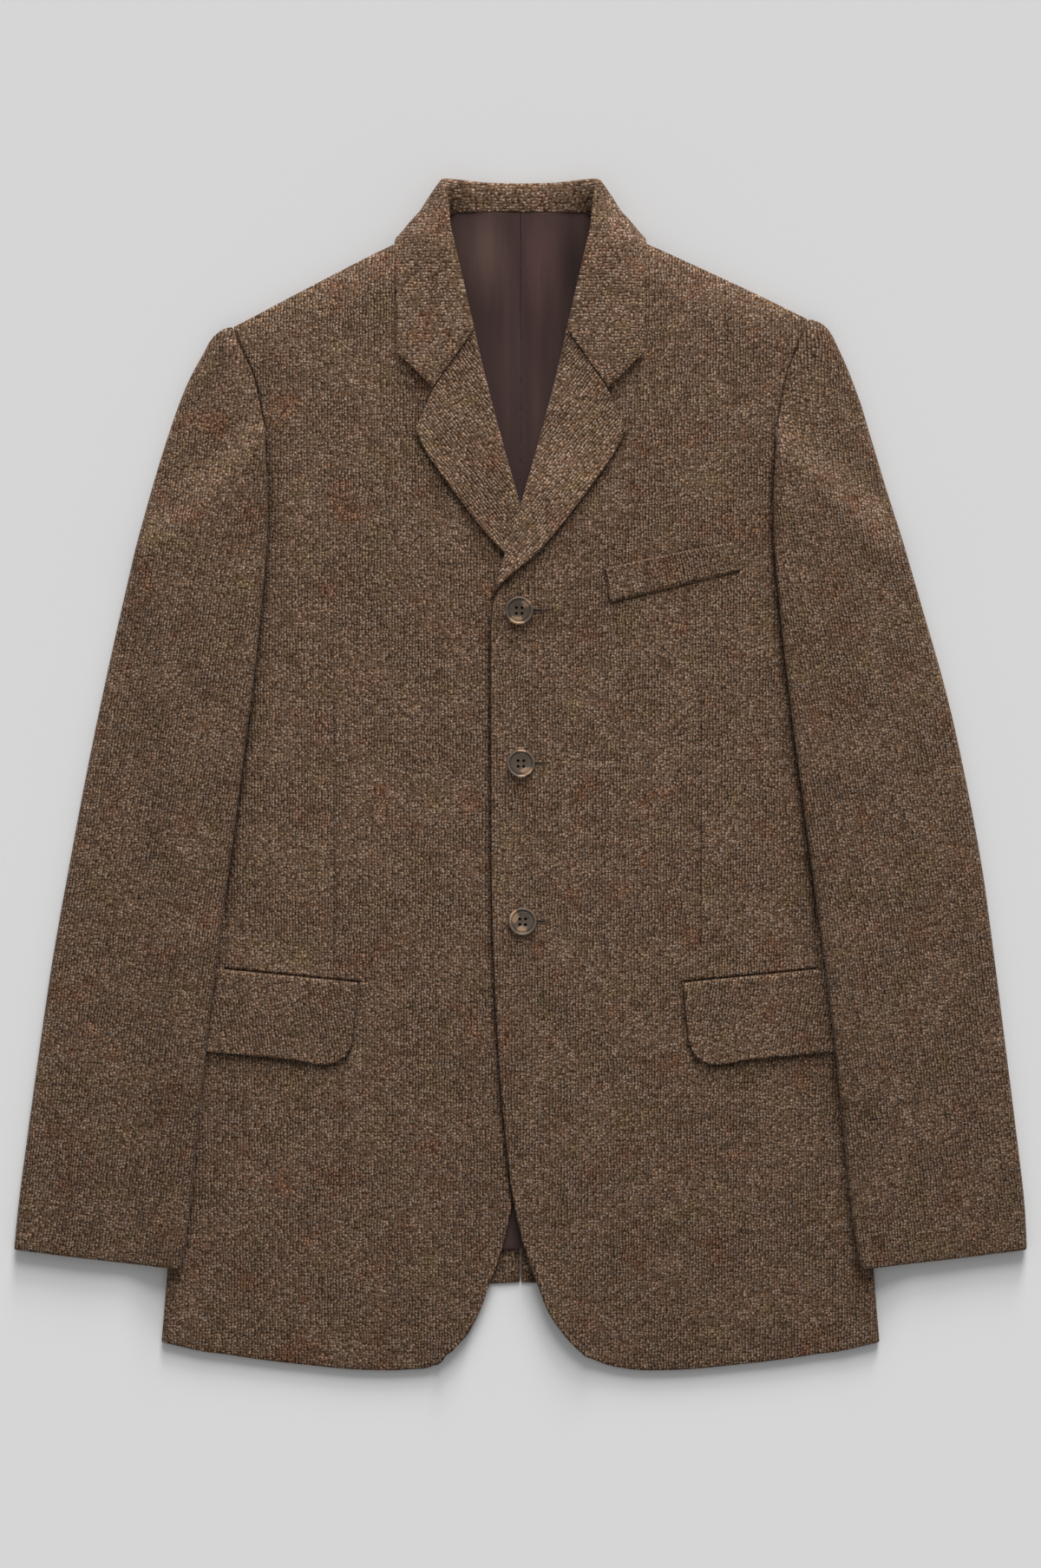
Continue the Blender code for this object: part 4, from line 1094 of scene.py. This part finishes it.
def build_top_sleeve(side):
    """The top sleeve: from under the inner fold, over the top and round the outer fold."""
    down = stops(190, 0.024, 12)
    inner, outer = sleeve_plan(down, side)
    half = SLEEVE_TUBE / 2
    quarter = half * math.pi / 2
    rows, runs = [], []
    for start, end in zip(inner, outer):
        width = float(np.linalg.norm(end - start))
        sewn = float(ease((start[1] - 224.0) / 22.0))
        lap = float(column(LAP, "inner", start[1])) - SEAM / 2
        first = (1 - sewn) * -(quarter + max(lap - half, 0.6)) + sewn * quarter
        outer_lap = max(OUTER_LAP * width - half, 0.8)
        far_flat = width - 2 * half + quarter
        run_list = np.concatenate([
            np.linspace(first, quarter + 4.0, 20),
            np.linspace(quarter + 4.0, far_flat, 42)[1:],
            far_flat + quarter * np.linspace(0.0, 2.0, 13)[1:],
            far_flat + 2 * quarter + outer_lap * np.linspace(0.0, 1.0, 6)[1:],
        ])
        row = []
        for run in run_list:
            if run < -quarter:
                off, layer = half + (-run - quarter), -1.0
            elif run < quarter:
                off, layer = half * (1 - math.cos(run / half)), math.sin(run / half)
            elif run <= far_flat:
                off, layer = half + run - quarter, 1.0
            elif run <= far_flat + 2 * quarter:
                angle = (run - far_flat) / half
                off, layer = width - half + half * math.sin(angle), math.cos(angle)
            else:
                off, layer = width - half - (run - far_flat - 2 * quarter), -1.0
            off -= (half - SEAM) * sewn * (1 - min(off / (0.6 * width), 1.0))
            row.append((off / width, layer))
        rows.append(row)
        runs.append(run_list - run_list[len(run_list) // 2])
    share, layer = np.array(rows)[..., 0], np.array(rows)[..., 1]
    plan = sleeve_grid(down, inner, outer, share)
    points = sleeve_heights(plan, share, layer, plan[:1], side)
    length = lengths((inner + outer) / 2)
    uv = np.stack([np.array(runs), np.broadcast_to(-length[:, None], share.shape)], axis=-1)
    sew(side_name("top_sleeve", side), side, points, SLEEVE_CLOTH,
        tweed("wool_sleeve", tone=0.93), (100, 30, 1),
        [side_name("front", side), side_name("under_sleeve", side)],
        uv=uv, rounded=(1, 1, 0, 0), steady=6)


def build_under_sleeve(side):
    """The under sleeve, between the top sleeve's two edges."""
    down = np.concatenate([[0.0], 0.02 + 0.98 * stops(110)])
    inner, outer = sleeve_plan(down, side)
    width = np.linalg.norm(outer - inner, axis=1)
    lap = column(LAP, "inner", inner[:, 1]) + SEAM
    first = lap / width
    last = 1 - np.maximum(OUTER_LAP * width, SLEEVE_TUBE / 2 + 0.8) / width - 3 * SEAM / width
    share = first[:, None] + (last - first)[:, None] * np.linspace(0, 1, 30)[None]
    plan = sleeve_grid(down, inner, outer, share)
    points = sleeve_heights(plan[1:], share[1:], -np.ones_like(share[1:]), plan[:1], side)
    sew(side_name("under_sleeve", side), side, points, SLEEVE_CLOTH,
        tweed("wool_sleeve", tone=0.93), (60, 15, -1), [side_name("side", side)])


def build_lapel(side):
    """The lapel: from inside the front's edge, round the roll and out over the front."""
    roll = [GORGE, *zip(ROLL["roll"][1:-1], ROLL["up"][1:-1])]
    edge = list(LAPEL_EDGE)
    if side > 0:
        roll.append((-18.0, 130.5))
    else:
        roll = roll[:4] + [(-2.2, 181.0), (-5.6, 171.0)]
        edge = edge[:6] + [(14.0, 157.0), (8.4, 151.0)]
    near = np.linspace(0.0, 0.22, 14) ** 1.3 / 0.22**0.3
    across = np.concatenate([near, np.linspace(0.24, 1.0, 34)])
    start, way = np.array(GORGE), np.array(NOTCH) - GORGE
    top = (roll[0], start + way * 0.35, start + way * 0.7, NOTCH, (66.0, 253.0), edge[0])
    plan = patch(stops(96), across, top, (roll[-1], edge[-1]), roll, edge)
    out, up = plan[..., 0], plan[..., 1]

    # The upper face: full at the roll, along the gorge and at the outer edge
    base = front_base(out, up, side)
    from_roll = beyond(plan, plan[:, :1])
    loft = 3.0 * ease((up - 150.0) / 120.0) * np.exp(-from_roll / 16.0)
    gorge = start + way * np.linspace(0.0, 1.0, 30)[:, None]
    to_gorge = np.linalg.norm(plan[:, :, None] - gorge, axis=-1).min(axis=-1)
    face = base + LAPEL_LAY + COLLAR_CLOTH + loft + 1.5 * bell(to_gorge, 14.0)
    face = face + 1.1 * np.exp(-beyond(plan, plan[:, -1:]) / 7.0)

    # The roll, and the stretch behind it that lies inside the front
    low_face = base[:, :1] - FRONT_CLOTH - LAPEL_LAY - COLLAR_CLOTH
    half = (face[:, :1] - low_face) / 2
    middle = face[:, :1] - half
    height = middle + (face - middle) * quarter_round(from_roll / half)
    outward = unit(plan[:, 14:15] - plan[:, :1])
    behind = [laid(plan[:, :1] + outward * (half[..., None] + 2.5), low_face)]
    for turn in np.radians(90 - np.linspace(0, 82, 9)):
        reach = outward * half[..., None] * (1 - math.cos(turn))
        behind.append(laid(plan[:, :1] + reach, middle - half * math.sin(turn)))
    points = drawn_in(np.concatenate([*behind, laid(plan, height)], axis=1), -EDGE_OUT)
    wool = tweed("wool_lapel", grain=math.radians(37), rib=0.28, pitch=1.03, tone=1.20)
    sew(side_name("lapel", side), side, points, COLLAR_CLOTH, wool, (30, -6, 1),
        [side_name("front", side)], "tweed_collar", "folded", rounded=(1, 1, 0, 1))


def build_collar():
    """Stand and leaf in one: from the neck's seam up to the fold, over and down to the edge."""
    rows = np.arange(len(COLLAR["fold_out"]))
    at = np.linspace(0.0, rows[-1], 91)

    def line(stem):
        columns = [COLLAR[f"{stem}_{axis}"] for axis in ("out", "up", "z")]
        return np.stack([smooth(rows, values, at) for values in columns], 1)

    seam, fold, bend, edge = line("seam"), line("fold"), line("bend"), line("edge")
    back = unit((seam + bend) / 2 - fold)
    apart = bend - seam
    apart = unit(apart - back * np.sum(apart * back, axis=1, keepdims=True)) * COLLAR_ROUND
    cheek = fold + back * COLLAR_ROUND * 0.9
    turn = fold + back * 0.30 * COLLAR_ROUND
    knots = [seam, cheek - apart, turn - apart * 0.72, fold, turn + apart * 0.72, cheek + apart,
             bend, edge]
    grid = []
    for place, row in zip(at, np.stack(knots, axis=1)):
        chord = lengths(row)
        read = np.concatenate([
            np.linspace(chord[0], chord[1], 9)[:-1], np.linspace(chord[1], chord[5], 17)[:-1],
            np.linspace(chord[5], chord[6], 15)[:-1], np.linspace(chord[6], chord[7], 15),
        ])
        curved = np.stack([smooth(chord, axis, read) for axis in row.T], axis=1)
        straight = read_along(row, chord, read)
        grid.append(curved + (straight - curved) * float(ease((place - 6.0) / 3.0)))
    half = np.array(grid)
    half[..., 2] = np.maximum(half[..., 2], 0.0)

    # The leaf rests on the fronts and lifts a little at its corner
    out, up, height = np.moveaxis(half, -1, 0)
    leaf = np.arange(half.shape[1])[None] > LEAF_START
    on_front = (below_shoulder(out, up) > 0.0) & (at[:, None] > 5.5) & leaf
    rest = front_top(out, up) + LAY + COLLAR_CLOTH
    corner = ease((at[:, None] - 6.5) / 2.5) * ease((out - 52.0) / 26.0) * leaf
    half[..., 2] = np.where(on_front, np.maximum(height, rest), height) + 2.4 * corner
    half = drawn_in(half[::-1], -EDGE_OUT)[::-1]
    points = np.concatenate([half[:0:-1] * (-1.0, 1.0, 1.0), half], axis=0)
    lean = 0.6 * points[..., 2:] * np.clip(points[..., :1] / 40.0, -1.0, 1.0)
    wool = tweed("wool_collar", grain=math.radians(90), rib=0.20, pitch=1.06, tone=1.04)
    sew("collar", 1, points, COLLAR_CLOTH, wool, (-4, 45, 1), ["front_left", "front_right"],
        "tweed_collar", "folded", uv=points[..., :2] - lean * (1.0, 0.0), rounded=(1, 1, 0, 1))


def build_flap(side):
    """A hip pocket's flap, hanging from its seam."""
    ends = FLAP_END, (FLAP_TOP[-1], FLAP_HEM[-1])
    plan = patch(stops(44, 0.10, 8), stops(70), FLAP_TOP, FLAP_HEM, *ends)
    from_seam = beyond(plan, plan[:1])
    to_edge = np.minimum(beyond(plan, plan[-1:]),
                         beyond(plan, plan[:, :1]) + 30.0 * (from_seam < 12.0))
    rise = (LAY + FLAP_CLOTH) * (0.1 + 0.9 * quarter_round(from_seam / 2.6))
    height = front_top(plan[..., 0], plan[..., 1]) + rise
    height = height + 0.7 * np.exp(-to_edge / 5.0) * ease(from_seam / 14.0)
    sew(side_name("flap", side), side, laid(plan, height), FLAP_CLOTH,
        tweed("wool_flap", grain=math.radians(7 * side)), (20, 30, 1),
        [side_name("front", side)], rounded=(0, 1, 1, 1))


def build_welt():
    """The breast pocket's welt, sewn down at its lower edge and its ends."""
    ends = (WELT_TOP[0], WELT_HEM[0]), (WELT_TOP[-1], WELT_HEM[-1])
    plan = patch(stops(30), stops(70), WELT_TOP, WELT_HEM, *ends)
    to_end = np.minimum(beyond(plan, plan[:, :1]), beyond(plan, plan[:, -1:]))
    sewn = quarter_round(beyond(plan, plan[-1:]) / 3.0)
    sewn = sewn * (0.45 + 0.55 * quarter_round(to_end / 2.5))
    height = front_base(plan[..., 0], plan[..., 1], 1)
    height = height + (LAPEL_LAY + FLAP_CLOTH) * (0.35 + 0.45 * sewn)
    height = height + 1.1 * np.exp(-beyond(plan, plan[:1]) / 3.0)
    sew("breast_welt", 1, laid(plan, height), FLAP_CLOTH,
        tweed("wool_welt", grain=math.radians(-11)), (10, 30, 1), ["front_left"],
        rounded=(1, 0, 1, 1))


# --- Buttons and buttonholes


def turned_piece(name, profile, place, finish, turns=72):
    """A profile of (radius, height) pairs turned round an upright axis at a place."""
    angles = np.linspace(0.0, 2.0 * math.pi, turns, endpoint=False)
    verts = [(0.0, 0.0, profile[0][1]), (0.0, 0.0, profile[-1][1])]
    for radius, height in profile[1:-1]:
        verts += [(radius * math.cos(a), radius * math.sin(a), height) for a in angles]
    faces = []
    last = 2 + (len(profile) - 3) * turns
    for here in range(turns):
        after = (here + 1) % turns
        faces += [(0, 2 + here, 2 + after), (1, last + after, last + here)]
        for ring in range(2, last, turns):
            below = ring + turns
            faces.append((ring + here, below + here, below + after, ring + after))
    mesh = bpy.data.meshes.new(name)
    mesh.from_pydata([tuple((np.array(vert) + place) * MM) for vert in verts], [], faces)
    mesh.materials.append(finish)
    return linked(name, mesh)


def build_button(name):
    """A horn button with a raised rim, a dished face and four holes, on a dark thread shank. The
    shank's near-black colour is partly the thread's own and partly painted shade seen in the holes.
    """
    out, up = BUTTON_PLACES[name]
    ring = np.linspace(0.0, 2.0 * math.pi, 16, endpoint=False)
    cos, sin = np.cos(ring), np.sin(ring)
    cloth = front_face(out + BUTTON_REACH * cos, up + BUTTON_REACH * sin, 1)
    slope = np.array((np.mean(cloth * cos), np.mean(cloth * sin))) * 2.0 / BUTTON_REACH
    place = np.array((out, up - MIDDLE_UP, cloth.mean() + BUTTON_LIFT))
    finish = horn("horn_of_" + name, button=name)
    piece = turned_piece(name + "_horn", BUTTON_PROFILE, place, finish)
    rod = ((0.0, 5.0), (HOLE_RADIUS, 5.0), (HOLE_RADIUS, -2.0), (0.0, -2.0))
    drills = []
    for x, y in ((-1, -1), (-1, 1), (1, -1), (1, 1)):
        at = place + (x * HOLE_REACH, y * HOLE_REACH, 0.0)
        drills.append(turned_piece(name + "_drill", rod, at, finish, 24))
        cut = piece.modifiers.new("hole", "BOOLEAN")
        cut.operation, cut.solver, cut.object = "DIFFERENCE", "EXACT", drills[-1]
    graph = bpy.context.evaluated_depsgraph_get()
    mesh = bpy.data.meshes.new_from_object(piece.evaluated_get(graph))
    piece.modifiers.clear()
    piece.data = mesh
    for drill in drills:
        bpy.data.objects.remove(drill)
    for vert in mesh.vertices:
        vert.co.z += float(np.dot(slope, np.array(vert.co[:2]) - place[:2] * MM))
    mesh.shade_smooth()
    mesh.set_sharp_from_angle(angle=math.radians(50))
    settle(piece, [name])
    # Near-black thread: partly its own colour, partly painted shade in the holes
    dark = thread("slit_dark", tone=0.18)
    shank = turned_piece(name + "_thread", SHANK_PROFILE, place, dark, 32)
    shank.data.shade_smooth()
    settle(shank)


def work_stitches(name, start, end, up):
    """Thread worked round a slit, as a ridge of small stitches."""
    stitches = []
    for index in range(int((end - start - 9.0) / STITCH_STEP)):
        x = start + 9.0 + index * STITCH_STEP
        spread = 0.85 + 0.5 * (1.0 - (x - start) / (end - start))
        stitches += [(x, up + spread, 0.0), (x, up - spread, math.pi)]
    for angle in np.linspace(math.pi / 2, -math.pi / 2, 7):
        x, y = end + 0.9 * math.cos(angle), up + 0.9 * math.sin(angle)
        stitches.append((x, y, angle - math.pi / 2))
    work = bmesh.new()
    for x, y, angle in stitches:
        height = float(front_face(x, y, 1)) + 0.12
        cos, sin = math.cos(angle), math.sin(angle)
        for vert in bmesh.ops.create_icosphere(work, subdivisions=1, radius=1.0)["verts"]:
            wide, long, tall = (a * b for a, b in zip(vert.co, STITCH))
            at = [x + wide * cos - long * sin, y + wide * sin + long * cos, height + tall]
            vert.co = tuple(placed(np.array(at), 1))
    settle(finished(name, work), finish=thread("buttonhole_thread"))


def cut_slit(name, start, end, up):
    """The dark slit, narrower towards its end: a near-black sheet of painted shade inside the cut.
    """
    work = bmesh.new()
    narrow, wide = SLIT_REACH
    shares = np.linspace(0.0, 1.0, 25)
    outline = [(start + (end - start) * t, narrow + (wide - narrow) * (1.0 - t)) for t in shares]
    outline += [(x, -half) for x, half in outline[::-1]]
    rings = []
    for drop in (0.06, -0.9):
        heights = [float(front_face(x, up, 1)) + drop for x, _ in outline]
        rings.append([
            work.verts.new(tuple(placed(np.array([x, up + y, height]), 1)))
            for (x, y), height in zip(outline, heights)
        ])
    top, bottom = rings
    work.faces.new(top)
    work.faces.new(bottom[::-1])
    for here in range(len(outline)):
        after = (here + 1) % len(outline)
        work.faces.new([top[here], bottom[here], bottom[after], top[after]])
    bmesh.ops.recalc_face_normals(work, faces=work.faces[:])
    piece = finished(name, work, smooth=False)
    settle(piece, finish=thread("slit_dark", tone=0.18))


def build_buttonhole(name):
    """A buttonhole: its worked edge and the dark slit in it, out from under the button."""
    out, up = BUTTON_PLACES[name]
    start = out - 2.0
    end = start + bpy.context.scene.jacket_sizes.buttonhole_length / MM
    work_stitches(name + "_hole_stitches", start, end, up)
    cut_slit(name + "_hole_slit", start, end, up)


# --- Settings, operators and panel


class JacketSizes(bpy.types.PropertyGroup):
    """Sizes that a user would change."""

    weave_pitch: bpy.props.FloatProperty(
        name="Weave pitch", description="Width of one rib of the tweed",
        default=0.00202, min=0.0005, max=0.006, unit="LENGTH", precision=5,
    )
    buttonhole_length: bpy.props.FloatProperty(
        name="Buttonhole length", description="Length of the slit that a button goes through",
        default=0.0190, min=0.01, max=0.04, unit="LENGTH", precision=4,
    )


def colour_property(name, description, default):
    """A colour that the panel shows."""
    return bpy.props.FloatVectorProperty(
        name=name, description=description, default=default, size=3, min=0.0, max=1.0,
        subtype="COLOR",
    )


class JacketColours(bpy.types.PropertyGroup):
    """Colours that a user would change."""

    body: colour_property("Yarn", "Most of the tweed's yarn", (0.206, 0.130, 0.086))
    nub_light: colour_property("Light nubs", "Cream nubs in the tweed", (0.435, 0.32, 0.25))
    nub_dark: colour_property(
        "Dark yarn", "Where the yarn dips between nubs", (0.062, 0.031, 0.014)
    )
    rust: colour_property("Rust tint", "Warm patches in the tweed", (1.0, 0.84, 0.76))
    olive: colour_property("Olive tint", "Green patches in the tweed", (0.97, 1.0, 0.86))
    fleck: colour_property("Flecks", "Small rust flecks", (0.30, 0.13, 0.06))
    lining: colour_property("Lining", "Satin inside the jacket", (0.060, 0.034, 0.030))
    horn: colour_property("Horn", "Buttons", (0.102, 0.076, 0.056))
    horn_warm: colour_property("Warm horn", "Lighter patches in the buttons", (0.38, 0.245, 0.150))
    thread: colour_property("Thread", "Buttonhole thread", (0.10, 0.066, 0.044))


def on_both_sides(*builders, sides=(1, -1)):
    """Runs builders for each side of the jacket in turn."""
    for side in sides:
        for build in builders:
            build(side)


class JACKET_OT_back(bpy.types.Operator):
    """Builds the two back panels and the lining that shows in the neck"""

    bl_idname = "jacket.back"
    bl_label = "Back and lining"

    def execute(self, context):
        on_both_sides(build_back, build_lining)
        return {"FINISHED"}


class JACKET_OT_fronts(bpy.types.Operator):
    """Builds the two fronts and the side panels"""

    bl_idname = "jacket.fronts"
    bl_label = "Fronts and sides"

    def execute(self, context):
        on_both_sides(build_front, build_side)
        return {"FINISHED"}


class JACKET_OT_sleeves(bpy.types.Operator):
    """Builds the top sleeves and under sleeves"""

    bl_idname = "jacket.sleeves"
    bl_label = "Sleeves"

    def execute(self, context):
        on_both_sides(build_top_sleeve, build_under_sleeve)
        return {"FINISHED"}


class JACKET_OT_collar(bpy.types.Operator):
    """Builds the collar and the lapels"""

    bl_idname = "jacket.collar"
    bl_label = "Collar and lapels"

    def execute(self, context):
        on_both_sides(build_lapel, sides=(-1, 1))
        build_collar()
        return {"FINISHED"}


class JACKET_OT_pockets(bpy.types.Operator):
    """Builds the flaps and the breast welt"""

    bl_idname = "jacket.pockets"
    bl_label = "Pockets"

    def execute(self, context):
        on_both_sides(build_flap)
        build_welt()
        return {"FINISHED"}


class JACKET_OT_buttons(bpy.types.Operator):
    """Turns the horn buttons and works the buttonholes"""

    bl_idname = "jacket.buttons"
    bl_label = "Buttons and buttonholes"

    def execute(self, context):
        for name in BUTTON_PLACES:
            build_button(name)
            build_buttonhole(name)
        return {"FINISHED"}


class JACKET_OT_stage(bpy.types.Operator):
    """Makes the pale floor, the soft light and the camera straight above"""

    bl_idname = "jacket.stage"
    bl_label = "Stage"

    def execute(self, context):
        build_floor()
        build_lights(context.scene)
        build_camera(context.scene)
        return {"FINISHED"}


STEPS = (
    JACKET_OT_back, JACKET_OT_fronts, JACKET_OT_sleeves, JACKET_OT_collar, JACKET_OT_pockets,
    JACKET_OT_buttons, JACKET_OT_stage,
)


class JACKET_PT_panel(bpy.types.Panel):
    """Settings and steps of the jacket"""

    bl_idname = "JACKET_PT_panel"
    bl_label = "Tweed lounge jacket"
    bl_space_type = "VIEW_3D"
    bl_region_type = "UI"
    bl_category = "Jacket"

    def draw(self, context):
        for group in (context.scene.jacket_sizes, context.scene.jacket_colours):
            box = self.layout.box()
            for name in group.__annotations__:
                box.prop(group, name)
        for step in STEPS:
            self.layout.operator(step.bl_idname)


# --- Stage


def build_floor():
    """A wide sheet of pale paper, just under the jacket."""
    mesh = bpy.data.meshes.new("floor")
    signs = ((-1, -1), (1, -1), (1, 1), (-1, 1))
    mesh.from_pydata([(x * FLOOR_REACH, y * FLOOR_REACH, 0.0) for x, y in signs], [], [range(4)])
    floor = bpy.data.objects.new("floor", mesh)
    bpy.context.scene.collection.objects.link(floor)
    paper = Finish("floor_paper", Roughness=0.9, Specular_IOR_Level=0.1)
    mesh.materials.append(paper.done(FLOOR_COLOUR))
    floor.location.z = FLOOR_LEVEL


def build_lights(scene):
    """An even white sky and two wide suns from beyond the collar."""
    world = bpy.data.worlds.new("studio")
    world.use_nodes = True
    sky = world.node_tree.nodes["Background"]
    sky.inputs[0].default_value = (1.0, 1.0, 1.0, 1.0)
    sky.inputs[1].default_value = SKY
    scene.world = world
    for name, (energy, wide, lean) in SUNS.items():
        sun = bpy.data.lights.new(name, "SUN")
        sun.energy = energy
        sun.angle = math.radians(wide)
        light = bpy.data.objects.new(name, sun)
        light.rotation_euler = (math.radians(-lean), 0.0, math.radians(SUN_TURN))
        light.location = (0.0, 2.0, 2.0)
        scene.collection.objects.link(light)
    scene.view_settings.view_transform = "Standard"
    scene.view_settings.look = "None"


def build_camera(scene):
    """A camera straight above, whose frame is FRAME_TALL metres tall at the cloth's middle."""
    data = bpy.data.cameras.new("camera")
    data.sensor_width = 36.0
    data.lens = data.sensor_width * CAMERA_HEIGHT / FRAME_TALL
    data.clip_end = 40.0
    camera = bpy.data.objects.new("camera", data)
    camera.location = (0.0, CAMERA_UP, CAMERA_HEIGHT + CLOTH_MIDDLE)
    scene.collection.objects.link(camera)
    scene.camera = camera


CLASSES = (JacketSizes, JacketColours, *STEPS, JACKET_PT_panel)


def register():
    for made in CLASSES:
        bpy.utils.register_class(made)
    bpy.types.Scene.jacket_sizes = bpy.props.PointerProperty(type=JacketSizes)
    bpy.types.Scene.jacket_colours = bpy.props.PointerProperty(type=JacketColours)


def unregister():
    del bpy.types.Scene.jacket_colours
    del bpy.types.Scene.jacket_sizes
    for made in reversed(CLASSES):
        bpy.utils.unregister_class(made)


def main():
    """Registers the add-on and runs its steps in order."""
    register()
    bpy.context.scene.collection.children.link(bpy.data.collections.new(COLLECTION))
    for step in STEPS:
        group, _, call = step.bl_idname.partition(".")
        getattr(getattr(bpy.ops, group), call)()


if __name__ == "__main__":
    main()
